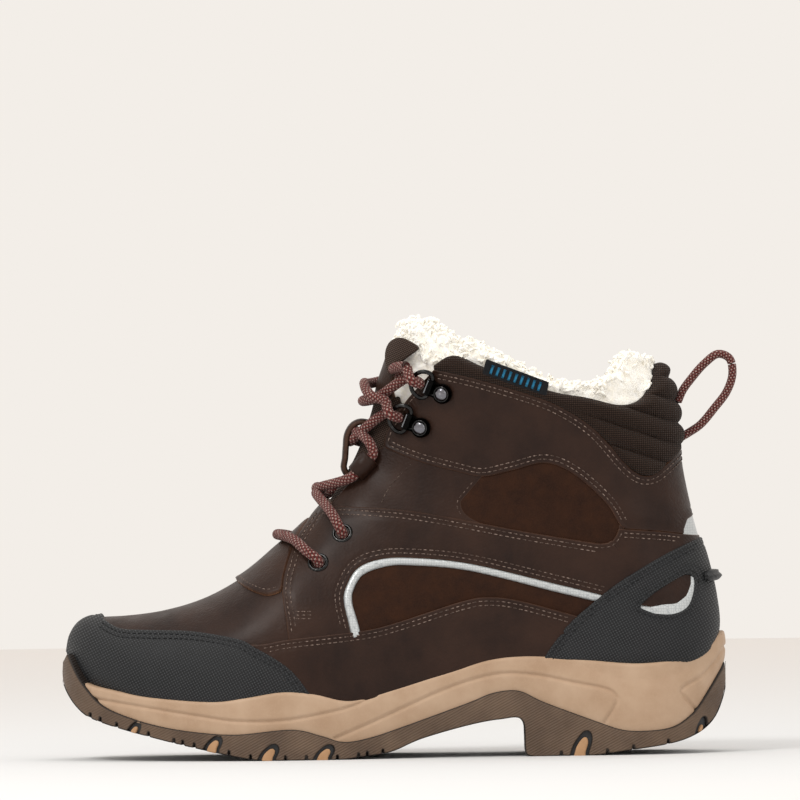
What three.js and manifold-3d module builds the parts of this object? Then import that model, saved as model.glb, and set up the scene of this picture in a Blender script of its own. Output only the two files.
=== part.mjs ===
// One left-foot insulated lace-up boot: sole unit, leather upper, linings, tongue, lace and fittings.
// Millimetres, +Z up. The toe points to -X, the outer (lateral) side of the foot is -Y,
// and the origin is the middle of the heel's flat contact with the ground.
import * as THREE from "three";
import { mergeVertices } from "three/addons/utils/BufferGeometryUtils.js";
import Module from "manifold-3d";

const wasm = await Module();
wasm.setup();

// ---------------------------------------------------------------- driving dimensions
const GAP = 0.3; // clearance between neighbouring pieces
const LEATHER = 1.6; // thickness of the upper's leather
const OVERLAY = 1.3; // thickness of the toe cap, heel cover and vamp tab that lie on the leather
// The upper's layers, as depths under the leather's face.
const LAYER = { leather: [0, LEATHER], stiffener: [1.9, 2.9], bootie: [4.6, 5.7], fleece: [6.4, 11] };
const FOOTBED_DEPTH = [11.4, 15.4]; // height above the bottom of the upper
const PADDING_DEPTH = 5.2; // of the padded collar above the leather
const LACE_DIAMETER = 4.4;
const AGLET = 20; // length of the tip on each end of the lace
const EYELET = { hole: 3.05, barrel: 3.45, flange: 4.5 };
const RING = { wire: 1.8, lift: 10 }; // lift: rest angle off the leather, degrees
const CLIP = { radius: 3.9, length: 7, plate: 0.8, sleeve: 1.75, bore: 1.32 };
const REACH = 80; // further to each side than any piece

const RINGS = 24; // rings of the upper's surface from toe to top
const SIDES = 20; // facets round each ring

// Sections of the upper from toe to collar. Each lies in the plane through its front point (on the
// vamp's ridge, the instep or the tongue) and its back point (under the foot, then up the heel).
// Each row: front x, z, back x, z, half width, place of the widest point, roundness in front of it,
// roundness behind it, side shift.
const SECTIONS = [
  [-211.5, 46, -206, 32.5, 0, 0.5, 2.2, 2.2, 9],
  [-210, 53, -203, 29, 13, 0.55, 2.2, 2.6, 8.5],
  [-206, 58.5, -198, 26.5, 22, 0.6, 2.2, 3.2, 8],
  [-199, 61, -190, 24, 30, 0.64, 2.2, 4, 7],
  [-187, 62, -178, 21.5, 37.5, 0.68, 2.2, 5, 5.5],
  [-170, 64.3, -162, 19.5, 43, 0.72, 2.2, 5, 3.5],
  [-152, 69.5, -144, 18.5, 46.5, 0.75, 2.2, 5, 1.5],
  [-136, 78.5, -122, 18.2, 47.5, 0.76, 2.2, 6, 0],
  [-122, 89.5, -98, 19, 45.5, 0.78, 2.2, 6, -1],
  [-110, 100, -74, 21.5, 41, 0.79, 2.2, 7, -1.5],
  [-101, 110, -49, 26.3, 37, 0.8, 2.2, 7, -1.5],
  [-95, 119, -23, 31.2, 34.5, 0.8, 2.2, 7, -1],
  [-90, 127.5, 3, 33.2, 33.5, 0.8, 2.3, 7, -0.5],
  [-86.5, 135, 29, 33.5, 33, 0.8, 2.3, 6, 0],
  [-84, 142, 50, 35, 32.5, 0.8, 2.3, 4.5, 0],
  [-82, 148, 62, 41, 32.5, 0.78, 2.3, 3.2, 0],
  [-80.5, 153.5, 66.5, 53, 32.5, 0.74, 2.3, 2.5, 0],
  [-79, 158.5, 65.5, 67, 33, 0.68, 2.3, 2.2, 0],
  [-77.5, 163.5, 62.5, 81, 34, 0.62, 2.2, 2.2, 0],
  [-76, 168, 58.5, 95, 35, 0.58, 2.2, 2.2, 0],
  [-74.5, 172.5, 55, 109, 36, 0.55, 2.2, 2.2, 0],
  [-73, 177, 52.5, 124, 37, 0.53, 2.2, 2.2, 0],
  [-71.5, 181.5, 51.5, 139, 37.5, 0.52, 2.2, 2.2, 0],
  [-70, 186, 49, 155, 38, 0.51, 2.2, 2.2, 0],
  [-68.5, 190.5, 44.5, 170, 38, 0.5, 2.2, 2.2, 0],
];

// The sole seen from above: x, half width, side shift.
const SOLE_PLAN = [
  [-215, 0, 9],
  [-212.5, 12, 8.8],
  [-206, 22.5, 8.2],
  [-196, 31.5, 7],
  [-180, 40, 5],
  [-160, 46.5, 3],
  [-140, 50, 1],
  [-122, 50.5, 0],
  [-100, 48, -1],
  [-75, 42.5, -1.5],
  [-50, 38.5, -1.5],
  [-25, 36.5, -1],
  [0, 36.5, 0],
  [25, 36.5, 0],
  [42, 34, 0],
  [56, 26.5, 0],
  [65, 16.5, 0],
  [69.5, 8, 0],
  [71, 0, 0],
];

// Seams and edges seen from the side, as x, z.
const EDGE = {
  outsoleTop: [
    [-212.5, 46.1], [-209, 38], [-204.8, 31.4], [-197, 23.5], [-183.7, 18], [-169.8, 14.4], [-154.5, 12.2],
    [-139, 11.4], [-116, 13.2], [-103.2, 10.3], [-94, 7.6], [-83.3, 9], [-69, 13.4], [-40.5, 23.3], [-31.2, 27],
    [-23, 28.4], [-17, 27.6], [-7.5, 22.9], [15.5, 14.1], [25.5, 10.8], [34.7, 10.2], [46.2, 11.3], [53.9, 15.4],
    [59.3, 21.1], [68.5, 35.2], [70.2, 38.6],
  ],
  outsoleToe: [
    [-212.5, 46.1], [-214.8, 42], [-214.5, 33], [-208.2, 22.6], [-198.3, 16.7], [-169.8, 8.6], [-143, 2.4],
    [-130, 0],
  ],
  outsoleArch: [
    [-96, 0], [-84.7, 1.2], [-73.3, 3.1], [-60.5, 8.3], [-40.5, 13.7], [-26.9, 16], [-19.8, 15.9],
  ],
  outsoleHeel: [
    [13, 0], [30, 2.2], [43.2, 4], [52.4, 6.2], [60, 9.9], [65.4, 15.2], [68.9, 22.9], [70.6, 30.5],
    [70.2, 38.6],
  ],
  midsoleTop: [
    [-203, 32.6], [-192.9, 30.5], [-177.5, 27.6], [-150.7, 25.6], [-136, 27], [-119.9, 29.4], [-106, 28.2],
    [-90.4, 25.2], [-72, 30], [-47.6, 37], [-31, 41.6], [-15.5, 43], [2.5, 42], [25.5, 39.4], [36.7, 39.2],
    [47, 40.7], [57, 43.8], [65, 48.5], [70, 52],
  ],
  foxingTop: [
    [-138, 50], [-128.5, 49.5], [-116.5, 51.5], [-86.3, 54.6], [-72, 57.6], [-42.5, 66.6], [-31, 68.2],
    [-18.4, 66.6], [5.7, 59.9], [40, 50],
  ],
  toeCapTop: [
    [-196, 59.6], [-189, 56.1], [-177.5, 55.4], [-158, 54.9], [-139, 51.9], [-131.5, 48.4], [-116, 38.5],
    [-104, 22],
  ],
  heelCover: [[-14, 30], [-7.4, 42.8], [2.5, 55.5], [11.1, 63.3], [25.5, 74.3], [46.6, 86.5], [64, 93.5]],
  heelWindow: [[33.1, 63], [40, 69.2], [53.2, 76.5], [56.2, 73], [53.8, 63.5], [47.5, 60], [39.5, 60.4]],
  throatLow: [[-119.5, 72], [-118.3, 79.8], [-113.5, 93], [-108.6, 100.8], [-103.8, 108]],
  vampSeam: [[-119.5, 72], [-118.9, 66], [-117.7, 58.7], [-116.5, 46]],
  throatHigh: [[-98, 108.4], [-89, 119], [-81, 128.6], [-74.9, 133]],
  collarFront: [[-74.9, 133], [-73.8, 138.5], [-69.3, 146.5], [-64.4, 153.6], [-53, 166.1]],
  eyestayTop: [[-103.8, 108], [-83.3, 107.2], [-65.2, 105.6], [-42.5, 101.6], [-15.4, 96.1], [16.6, 90.4]],
  insetBack: [[16.6, 90.4], [21.5, 91.2], [24.3, 95], [25, 98.8]],
  heelSeam: [[25, 96.8], [43, 95.2], [53, 93.8], [72, 91.5]],
  collarLow: [
    [-74.9, 132.6], [-60.8, 126.7], [-43.3, 121.9], [-33, 119.8], [-20.2, 122.4], [-6, 125.4], [6.3, 120.2],
    [19.6, 107.9], [25, 98.8],
  ],
  insetFront: [[-33, 119.8], [-39.5, 112.4], [-42.5, 108.3], [-40, 103.6], [-33.5, 99.7]],
  pipingOuter: [
    [-89.5, 40], [-90.5, 53.8], [-93.3, 67.4], [-92, 74], [-87.5, 81.2], [-78.5, 85], [-65.2, 85.7], [-39.5, 82.9],
    [-3.3, 73.9], [16.6, 68.8], [34, 64], [47, 63.4], [54.5, 69.5], [56, 82],
  ],
  pipingInner: [
    [-85.5, 40], [-86.3, 54.6], [-89.5, 67.3], [-88.4, 73.4], [-84.5, 78.8], [-75.5, 81.9], [-65.2, 82.4],
    [-39.5, 79.7], [-3.3, 70.3], [16.6, 65.2], [34, 60.4], [49, 60], [58, 67], [60, 82],
  ],
  collarTop: [
    [-53, 166.1], [-34.3, 161.6], [-10.1, 154], [2.3, 148.4], [15.5, 139.2], [30, 122.7], [37.5, 119],
    [44, 122.4], [54.5, 132.6],
  ],
  paddingTop: [
    [-53, 167.3], [-45.5, 171], [-33.7, 166], [-5, 155.6], [12.5, 152.2], [27, 148.9], [37, 151],
    [43.5, 158.5], [46, 168],
  ],
  tabFront: [[-140, 77], [-134, 73.1], [-126, 70.4], [-119.8, 72]],
};

// ---------------------------------------------------------------- small tools
// Uniform Catmull-Rom through rows of numbers, with place running from 0 to 1.
function rowAt(rows, place) {
  const along = Math.min(Math.max(place, 0), 1) * (rows.length - 1);
  const first = Math.min(Math.floor(along), rows.length - 2);
  const t = along - first;
  const row = (step) => rows[Math.min(Math.max(first + step, 0), rows.length - 1)];
  const [a, b, c, d] = [-1, 0, 1, 2].map(row);
  return b.map((_, n) => {
    const cubic = 3 * (b[n] - c[n]) + d[n] - a[n];
    return b[n] + 0.5 * t * (c[n] - a[n] + t * (2 * a[n] - 5 * b[n] + 4 * c[n] - d[n] + t * cubic));
  });
}

// A smooth curve through the points, as evenly spaced points.
function curve(points, spacing = 10) {
  const line = new THREE.SplineCurve(points.map(([x, z]) => new THREE.Vector2(x, z)));
  return line.getSpacedPoints(Math.max(2, Math.ceil(line.getLength() / spacing))).map((p) => [p.x, p.y]);
}

const reversed = (points) => [...points].reverse();
const shifted = (points, dx, dz) => points.map(([x, z]) => [x + dx, z + dz]);

// A closed outline moved outwards by distance.
function grown(outline, distance) {
  const turn = Math.sign(THREE.ShapeUtils.area(outline.map(([x, y]) => new THREE.Vector2(x, y))));
  const outward = ([ax, az], [bx, bz]) => {
    const length = Math.hypot(bx - ax, bz - az);
    return [(turn * (bz - az)) / length, (turn * (ax - bx)) / length];
  };
  return outline.map((point, i) => {
    const [nx, nz] = outward(outline[(i + outline.length - 1) % outline.length], point);
    const [mx, mz] = outward(point, outline[(i + 1) % outline.length]);
    const miter = distance / Math.max(1 + nx * mx + nz * mz, 0.4);
    return [point[0] + miter * (nx + mx), point[1] + miter * (nz + mz)];
  });
}

// A closed mesh as a solid, turned to face outwards.
function solidFrom(positions, triangles) {
  const at = (i) => new THREE.Vector3().fromArray(positions, 3 * i);
  let volume = 0;
  for (let i = 0; i < triangles.length; i += 3) {
    volume += at(triangles[i]).dot(at(triangles[i + 1]).cross(at(triangles[i + 2])));
  }
  const faces = volume < 0 ? [...triangles].reverse() : triangles;
  const vertProperties = Float32Array.from(positions);
  return new wasm.Manifold(new wasm.Mesh({ numProp: 3, vertProperties, triVerts: Uint32Array.from(faces) }));
}

// A geometry's triangles alone, with the points that coincide joined into one.
function welded(geometry) {
  const bare = new THREE.BufferGeometry().setAttribute("position", geometry.getAttribute("position"));
  if (geometry.index) bare.setIndex(geometry.index);
  return mergeVertices(bare, 1e-4);
}

function solidOf(geometry) {
  const { attributes, index } = welded(geometry);
  return solidFrom(Array.from(attributes.position.array), Array.from(index.array));
}

function geometryOf(solid) {
  const mesh = solid.getMesh();
  const geometry = new THREE.BufferGeometry();
  geometry.setAttribute("position", new THREE.BufferAttribute(mesh.vertProperties, 3));
  geometry.setIndex(new THREE.BufferAttribute(mesh.triVerts, 1));
  geometry.computeVertexNormals();
  return geometry;
}

const solidGeometry = (geometry) => geometryOf(solidOf(geometry));

// The largest of a solid's separate bodies, which drops the slivers that a cut can leave.
function biggest(solid) {
  return solid.decompose().sort((a, b) => b.volume() - a.volume())[0];
}

// A closed outline without the points that repeat their neighbour.
function withoutRepeats(outline) {
  return outline.filter(([x, z], i) => {
    const [nextX, nextZ] = outline[(i + 1) % outline.length];
    return Math.hypot(nextX - x, nextZ - z) > 0.02;
  });
}

// A side outline stretched across the boot, from one y to another.
function prism(outline, low = -REACH, high = REACH) {
  const shape = new THREE.Shape(withoutRepeats(outline).map(([x, z]) => new THREE.Vector2(x, z)));
  const geometry = new THREE.ExtrudeGeometry(shape, { depth: high - low, bevelEnabled: false });
  return solidOf(geometry.rotateX(Math.PI / 2).translate(0, high, 0));
}

// A plan outline stretched upwards.
function column(outline, low, high) {
  const shape = new THREE.Shape(outline.map(([x, y]) => new THREE.Vector2(x, y)));
  const geometry = new THREE.ExtrudeGeometry(shape, { depth: high - low, bevelEnabled: false });
  return solidOf(geometry.translate(0, 0, low));
}

// A round or flat cord along a route, as a closed solid.
function cordAlong(points, width, height, sides, steps) {
  const path = new THREE.CatmullRomCurve3(points, false, "centripetal");
  const section = new THREE.Shape();
  section.absellipse(0, 0, height / 2, width / 2, 0, 2 * Math.PI);
  const outline = new THREE.Shape(section.getSpacedPoints(sides).slice(0, sides));
  return new THREE.ExtrudeGeometry(outline, { steps, extrudePath: path, bevelEnabled: false });
}

// ---------------------------------------------------------------- the upper's surface
const power = (base, exponent) => Math.sign(base) * Math.abs(base) ** exponent;

// A point of the surface: place along the sections, angle round the section (0 at the front, positive
// to the medial side, pi at the back), and depth under the leather's face.
function surface(place, angle, depth = 0) {
  const [ax, az, bx, bz, half, widest, front, back, shift] = rowAt(SECTIONS, place);
  const length = Math.hypot(bx - ax, bz - az);
  const cosine = Math.cos(angle);
  const [roundness, share] = cosine > 0 ? [front, widest] : [back, 1 - widest];
  const t = widest - share * power(cosine, 2 / roundness);
  const along = depth + t * (length - 2 * depth);
  const y = shift + Math.max(half - depth, 0.05) * power(Math.sin(angle), 2 / roundness);
  return new THREE.Vector3(ax + ((bx - ax) * along) / length, y, az + ((bz - az) * along) / length);
}

// The place along the sections whose plane holds the point x, z of the side view.
function placeOf(x, z) {
  let [low, high] = [0, 1];
  for (let i = 0; i < 40; i++) {
    const middle = (low + high) / 2;
    const [ax, az, bx, bz] = rowAt(SECTIONS, middle);
    if ((bx - ax) * (z - az) - (bz - az) * (x - ax) > 0) low = middle;
    else high = middle;
  }
  return low;
}

// A point at a height over the surface, with the outward normal there.
function raised(place, angle, height) {
  const step = 0.01;
  const round = surface(place, angle + step).sub(surface(place, angle - step));
  const up = surface(place + step, angle).sub(surface(place - step, angle));
  const normal = up.cross(round).normalize();
  return { point: surface(place, angle).addScaledVector(normal, height), normal };
}

// The same, at the point that the side view shows at x, z on the given side.
function seenAt(x, z, side, height = 0) {
  const place = placeOf(x, z);
  const [ax, az, bx, bz, , widest, front, back] = rowAt(SECTIONS, place);
  const t = ((x - ax) * (bx - ax) + (z - az) * (bz - az)) / ((bx - ax) ** 2 + (bz - az) ** 2);
  const share = t < widest ? Math.max(1 - t / widest, 0) : Math.min((t - widest) / (1 - widest), 1);
  const cosine = t < widest ? Math.min(share, 1) ** (front / 2) : -(share ** (back / 2));
  return raised(place, side * Math.acos(cosine), height);
}

const over = (x, z, side, height = 0) => seenAt(x, z, side, height).point;

// A point over the front of the boot, level with the ridge point x, z and the given distance to one side.
function overRidge(x, z, sideways, height) {
  const place = placeOf(x, z);
  const [, , , , half, , front] = rowAt(SECTIONS, place);
  return raised(place, Math.asin(power(sideways / half, front / 2)), height).point;
}

// The closed body of the upper at a depth, which may vary with the place, from one ring to another;
// coarse skips every other ring and side.
function tube(under, firstRing, lastRing, coarse = false) {
  const depthAt = typeof under === "function" ? under : () => under;
  const [stride, sides] = coarse ? [2, SIDES / 2] : [1, SIDES];
  const places = [Math.max(firstRing, 0.05) / RINGS];
  const next = stride * Math.floor(firstRing / stride + 1);
  for (let ring = next; ring <= lastRing; ring += stride) places.push(ring / RINGS);
  const inset = firstRing % stride ? 0.7 : 0; // keeps a cap between two rings inside the facets outside it
  const positions = [];
  places.forEach((place, i) => {
    const depth = depthAt(place) + (i === 0 ? inset : 0);
    for (let k = 0; k < sides; k++) positions.push(...surface(place, (2 * Math.PI * k) / sides, depth));
  });
  const triangles = [];
  for (let r = 0; r < places.length - 1; r++) {
    for (let k = 0; k < sides; k++) {
      const [a, b] = [r * sides + k, r * sides + ((k + 1) % sides)];
      triangles.push(a, b, b + sides, a, b + sides, a + sides);
    }
  }
  for (const start of [0, (places.length - 1) * sides]) {
    for (let k = 1; k < sides - 1; k++) {
      const fan = [start, start + k, start + k + 1];
      triangles.push(...(start ? fan : fan.reverse()));
    }
  }
  return solidFrom(positions, triangles);
}

// A layer of the upper between two depths, open at the top and closed at the toe between two rings.
function layer([outer, inner], [toe, toeInside], coarse = false) {
  const top = coarse ? RINGS - 2 : RINGS - 1;
  return tube(outer, toe, top, coarse).subtract(tube(inner, toeInside, RINGS, coarse));
}

// ---------------------------------------------------------------- materials
const finish = (color, roughness, metalness = 0) => {
  return new THREE.MeshStandardMaterial({ color, roughness, metalness });
};
const MATERIAL = {
  leather: finish(0x3d2a22, 0.5),
  insetLeather: finish(0x36231a, 0.6),
  rubber: finish(0x5a4a3c, 0.8),
  tan: finish(0xc9a584, 0.75),
  insert: finish(0xb98a5e, 0.8),
  guard: finish(0x23262a, 0.7),
  reflective: finish(0xc3c8ca, 0.35),
  fleece: finish(0xf1ece0, 1),
  textile: finish(0x3b2e26, 0.9),
  lace: finish(0x8a4a42, 0.85),
  metal: finish(0x26282a, 0.35, 0.8),
  board: finish(0xb9a98f, 0.9),
  steel: finish(0x9a9da0, 0.35, 1),
  membrane: finish(0xd8dadb, 0.8),
  tag: finish(0x15181b, 0.85),
  plastic: finish(0x2c2220, 0.5),
};

const boot = new THREE.Group();

function add(name, part, material, parent = boot) {
  const geometry = part.isBufferGeometry ? part : geometryOf(biggest(part).simplify(0.11));
  const mesh = new THREE.Mesh(geometry, material);
  mesh.name = name;
  parent.add(mesh);
  return mesh;
}

// ---------------------------------------------------------------- side outlines of the panels
const FAR = { left: -230, right: 90, top: 200, bottom: -10 };
const bottomLine = SECTIONS.slice(0, 16).map((row) => [row[2], row[3]]);
const edge = Object.fromEntries(Object.entries(EDGE).map(([name, points]) => [name, curve(points)]));

const everything = [
  [FAR.left, FAR.bottom], [FAR.right, FAR.bottom], [FAR.right, FAR.top], [FAR.left, FAR.top],
];
const boardOutline = [
  ...curve(shifted(bottomLine, 0, 4)),
  [70, 41], [70, 20], [FAR.left, 10], [FAR.left, 36],
];
const throatOutline = [
  ...edge.throatHigh, ...edge.collarFront.slice(1), [-42, 184], [-42, FAR.top], [-130, FAR.top], [-130, 150],
];
const foxingOutline = [...edge.foxingTop, [80, 50], [80, FAR.bottom], [-138, FAR.bottom]];
const inPiping = (line) => [...line, [80, 82], [80, 20], [-86, 20]];
const insetOutline = [
  ...edge.insetFront.slice(0, -1), ...edge.eyestayTop.filter(([x]) => x > -33), ...edge.insetBack.slice(1),
  ...reversed(edge.collarLow.filter(([x]) => x > -33 && x < 24.5)),
];
const eyestayOutline = [
  ...reversed(edge.vampSeam), ...edge.throatLow.slice(1), ...edge.eyestayTop.slice(1),
  ...edge.insetBack.slice(1, -1), ...edge.heelSeam, [80, 80], [80, FAR.bottom], [-116, FAR.bottom],
];
const collarOutline = [
  ...edge.collarFront, ...edge.collarTop.slice(1), [75, 145], [75, 91.4],
  ...reversed(edge.heelSeam.slice(1, -1)), ...reversed(edge.collarLow),
];
const saddleOutline = [
  ...edge.throatHigh, ...edge.collarLow, [25, 88], [-15, 90], [-98, 102],
];
const reflectorOutline = [[52.6, 84], [52.9, 95.9], [54.5, 100], [58.6, 102.4], [75, 106], [75, 84]];
const vampOutline = [
  ...reversed(edge.throatLow), ...edge.vampSeam.slice(1), [-116.5, FAR.bottom], [FAR.left, FAR.bottom],
  [FAR.left, 120], [-115, 120],
];
const toeCapOutline = [
  ...edge.toeCapTop, [-104, FAR.bottom], [FAR.left, FAR.bottom], [FAR.left, 80], [-203, 75],
];
const heelCoverOutline = [...edge.heelCover, [80, 97], [80, FAR.bottom], [-30, FAR.bottom], [-30, 20]];
const tabOutline = [...edge.tabFront, ...edge.throatLow.slice(1), [-105, 125], [-150, 100]];
const paddingOutline = [...edge.collarTop, [60, 138], [60, 172], ...reversed(edge.paddingTop)];
const belowAndInFront = [[85, FAR.bottom], [FAR.left, FAR.bottom], [FAR.left, FAR.top], [-53, FAR.top]];
const bootieOutline = [...edge.collarTop, [85, 140], ...belowAndInFront];
const fleeceTop = curve([
  [-53, 179], [-38, 176], [-22, 168], [-4, 160], [14, 157.5], [25, 162], [32, 171], [40, 173], [50, 168],
]);
const fleeceOutline = [...fleeceTop, [85, 168], ...belowAndInFront];

// ---------------------------------------------------------------- sole unit
// The sole's plan, drawn in from its edge by the inset.
function planOutline(inset) {
  const medial = SOLE_PLAN.map(([x, half, shift]) => [x, shift + half]);
  const lateral = SOLE_PLAN.map(([x, half, shift]) => [x, shift - half]);
  const outline = [...curve(medial, 9), ...curve(reversed(lateral), 9).slice(1, -1)];
  return inset ? grown(outline, -inset) : outline;
}

const heelFace = [[-13.7, 0], [-16.5, 2.6], [-16.6, 13]];
const outsoleSide = [
  ...edge.outsoleTop, ...reversed(edge.outsoleHeel).slice(1), ...heelFace, ...reversed(edge.outsoleArch),
  ...reversed(edge.outsoleToe).slice(0, -1),
];
const underMidsole = edge.outsoleTop.filter(([x]) => x > -202);
const midsoleSide = [
  ...edge.midsoleTop, [72, 44], [70.6, 38.9], ...shifted(reversed(underMidsole), 0, -3).slice(1),
];

// Blocks of the tread that show tan at the edge of the sole.
// Each row: middle x, lowest z at the front, lowest z at the back, height.
const BLOCKS = [
  [-176, 11.9, 9.6, 3], [-149, 5.4, 4.1, 4.4], [-125, 0.4, 0.4, 5], [-101, 0.4, 0.4, 5], [30, 2.6, 3.4, 4.4],
  [52, 5.4, 7.8, 3.8],
];
const BLOCK_WIDTH = 8.5;
function blockOutline([x, front, back, height], lower = 0) {
  const [left, right] = [x - BLOCK_WIDTH / 2, x + BLOCK_WIDTH / 2];
  return [[left, front - lower], [right, back - lower], [right, back + height], [left, front + height]];
}
const coreLine = curve([
  [-186, 13.2], [-170, 10.6], [-150, 8.2], [-125, 6.6], [-98, 6.6], [-72, 8.6], [-40, 18.2], [-22, 21.4],
  [0, 15.5], [20, 9.3], [40, 8], [55, 10.5],
], 9);
const coreBand = [...coreLine, ...reversed(shifted(coreLine, 0, -2))];

// Slots across the tread between the blocks: middle x and highest z.
const SLOTS = [[-162, 8.3], [-137, 4], [-113, 3], [-6, 2.6], [18, 3.4], [41, 6.6]];
const slotOutline = ([x, z]) => [[x - 1.6, -5], [x + 1.6, -5], [x + 1.1, z], [x - 1.1, z]];
const HEEL_PAD = 11; // half width of the heel's unbroken flat, about the origin

function addSole() {
  const plan = column(planOutline(0), -10, 60);
  const last = tube(-(OVERLAY + 2 * GAP), 0, RINGS - 5);
  const shankLine = curve(shifted(bottomLine.slice(9, 13), 0, -4.6), 12);
  const shankBand = [...shankLine, ...reversed(shifted(shankLine, 0, -1.4))];
  const shankSlot = prism(grown(shankBand, GAP), -8 - GAP, 7 + GAP);
  add("shank", prism(shankBand, -8, 7), MATERIAL.steel);

  let core = prism(coreBand, -60, 60).intersect(column(planOutline(7), -10, 60));
  let blockCuts = prism(grown(coreBand, GAP), -60, 60).intersect(column(planOutline(7 - GAP), -10, 60));
  const blockPlan = column(planOutline(0.8), -10, 60);
  for (const block of BLOCKS) {
    core = core.add(prism(blockOutline(block)).intersect(blockPlan));
    blockCuts = blockCuts.add(prism(grown(blockOutline(block, 4), GAP)));
  }
  add("tread_core", core, MATERIAL.insert);

  let outsole = prism(outsoleSide).intersect(plan).subtract(last).subtract(blockCuts).subtract(shankSlot);
  for (const [x, z] of SLOTS) {
    const slot = slotOutline([x, z]);
    outsole = outsole.subtract(prism(slot, HEEL_PAD, REACH)).subtract(prism(slot, -REACH, -HEEL_PAD));
  }
  add("outsole", outsole, MATERIAL.rubber);

  const midsole = prism(midsoleSide).intersect(column(planOutline(0.9), -10, 60));
  add("midsole", midsole.subtract(last).subtract(shankSlot).subtract(clearOf(outsoleSide)), MATERIAL.tan);
}

// ---------------------------------------------------------------- the upper's panels
const MIDDLE = 0.15; // half the seam between the lateral and medial halves
const sideOf = { lateral: -1, medial: 1 };
const half = (side) => (side < 0 ? [-REACH, -MIDDLE] : [MIDDLE, REACH]);
const region = (outline, side) => (side ? prism(outline, ...half(side)) : prism(outline));
const clearOf = (outline, side) => region(grown(outline, GAP), side);

function addUpper(cuts) {
  const leather = layer(LAYER.leather, [0, 1]);
  const overlay = tube(-(OVERLAY + GAP), 0, RINGS).subtract(tube(-GAP, 0, RINGS));
  add("vamp", leather.intersect(region(vampOutline)), MATERIAL.leather);

  add("toe_cap", overlay.intersect(region(toeCapOutline)), MATERIAL.guard);
  const heelCover = overlay.intersect(region(heelCoverOutline)).subtract(region(edge.heelWindow));
  add("heel_cover", heelCover, MATERIAL.guard);
  add("vamp_tab", overlay.intersect(region(tabOutline)), MATERIAL.leather);

  for (const [name, side] of Object.entries(sideOf)) {
    const rest = leather.intersect(region(everything, side)).subtract(clearOf(vampOutline));
    const lower = rest.subtract(clearOf(foxingOutline));
    add(`foxing_${name}`, rest.intersect(region(foxingOutline)), MATERIAL.leather);
    add(`midfoot_panel_${name}`, lower.intersect(region(inPiping(edge.pipingInner))), MATERIAL.insetLeather);
    const piping = lower.intersect(region(inPiping(edge.pipingOuter)));
    add(`piping_${name}`, piping.subtract(clearOf(inPiping(edge.pipingInner))), MATERIAL.reflective);
    const eyestay = lower.intersect(region(eyestayOutline)).subtract(clearOf(inPiping(edge.pipingOuter)));
    add(`eyestay_${name}`, eyestay.subtract(cuts.eyelets), MATERIAL.leather);
    add(`ankle_panel_${name}`, rest.intersect(region(insetOutline, side)), MATERIAL.insetLeather);
    const above = rest.subtract(clearOf(insetOutline)).subtract(clearOf(eyestayOutline));
    const collar = above.intersect(region(collarOutline)).subtract(clearOf(reflectorOutline));
    add(`collar_quarter_${name}`, collar.subtract(cuts.rivets).subtract(cuts.lace), MATERIAL.leather);
    const saddle = above.intersect(region(saddleOutline)).subtract(clearOf(collarOutline));
    add(`saddle_${name}`, saddle, MATERIAL.leather);
  }
  const reflector = leather.intersect(region(reflectorOutline)).subtract(clearOf(eyestayOutline));
  add("heel_reflector", reflector, MATERIAL.reflective);
}

// ---------------------------------------------------------------- linings and stiffeners
const puffOutline = [
  ...shifted(edge.toeCapTop.filter(([, z]) => z > 38), -3, -3),
  ...reversed(shifted(curve(bottomLine.slice(0, 8)), 0, 6)),
  [FAR.left, 40], [FAR.left, 80],
];
const stiffenerOutline = [
  ...shifted(edge.heelCover.filter(([, z]) => z > 43), 4, -3),
  [80, 90], [80, 47.5], [60, 46.5], [50, 41.4], [0, 38.8],
];
const innerThroat = [
  ...curve([[-117, 76], [-96, 86], [-82, 104], [-73, 120], [-63, 136], [-57, 150], [-46, 166], [-41, 184]]),
  [-41, FAR.top], [-130, FAR.top], [-130, 120],
];

// The tongue's pad lies deep under the lowest crossings of the lace and comes up to the face above them.
const padDepth = (thickness) => (place) => {
  return 9 + thickness - 6.8 * THREE.MathUtils.smoothstep(place, 0.41, 0.48);
};

function addLinings(cuts) {
  const inner = layer(LAYER.stiffener, [1.2, 1.6]);
  add("toe_puff", inner.intersect(region(puffOutline)), MATERIAL.board);
  add("heel_stiffener", inner.intersect(region(stiffenerOutline)), MATERIAL.plastic);
  add("insole_board", inner.intersect(region(boardOutline)), MATERIAL.board);

  const bootie = layer(LAYER.bootie, [1.9, 2.4], true).intersect(region(bootieOutline));
  add("bootie", bootie.subtract(clearOf(innerThroat)).subtract(cuts.lace), MATERIAL.membrane);
  const fleece = layer(LAYER.fleece, [2.6, 3.6], true).intersect(region(fleeceOutline));
  add("fleece_lining", fleece.subtract(clearOf(innerThroat)).subtract(cuts.lace), MATERIAL.fleece);
  const underFoot = [
    ...curve(shifted(bottomLine, 0, FOOTBED_DEPTH[1])), [90, 60], [90, -5], [FAR.left, -5], [FAR.left, 50],
  ];
  const footbed = tube(FOOTBED_DEPTH[0], 3.8, RINGS - 6, true).intersect(region(underFoot));
  add("footbed", footbed, MATERIAL.textile);

  const rim = tube(-0.4, RINGS - 9, RINGS).subtract(tube(PADDING_DEPTH, RINGS - 10, RINGS));
  add("collar_padding", rim.intersect(region(grown(paddingOutline, -GAP))), MATERIAL.textile);
}

// ---------------------------------------------------------------- tongue
const TONGUE_TOP = RINGS - 1; // ring at the tongue's top

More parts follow.
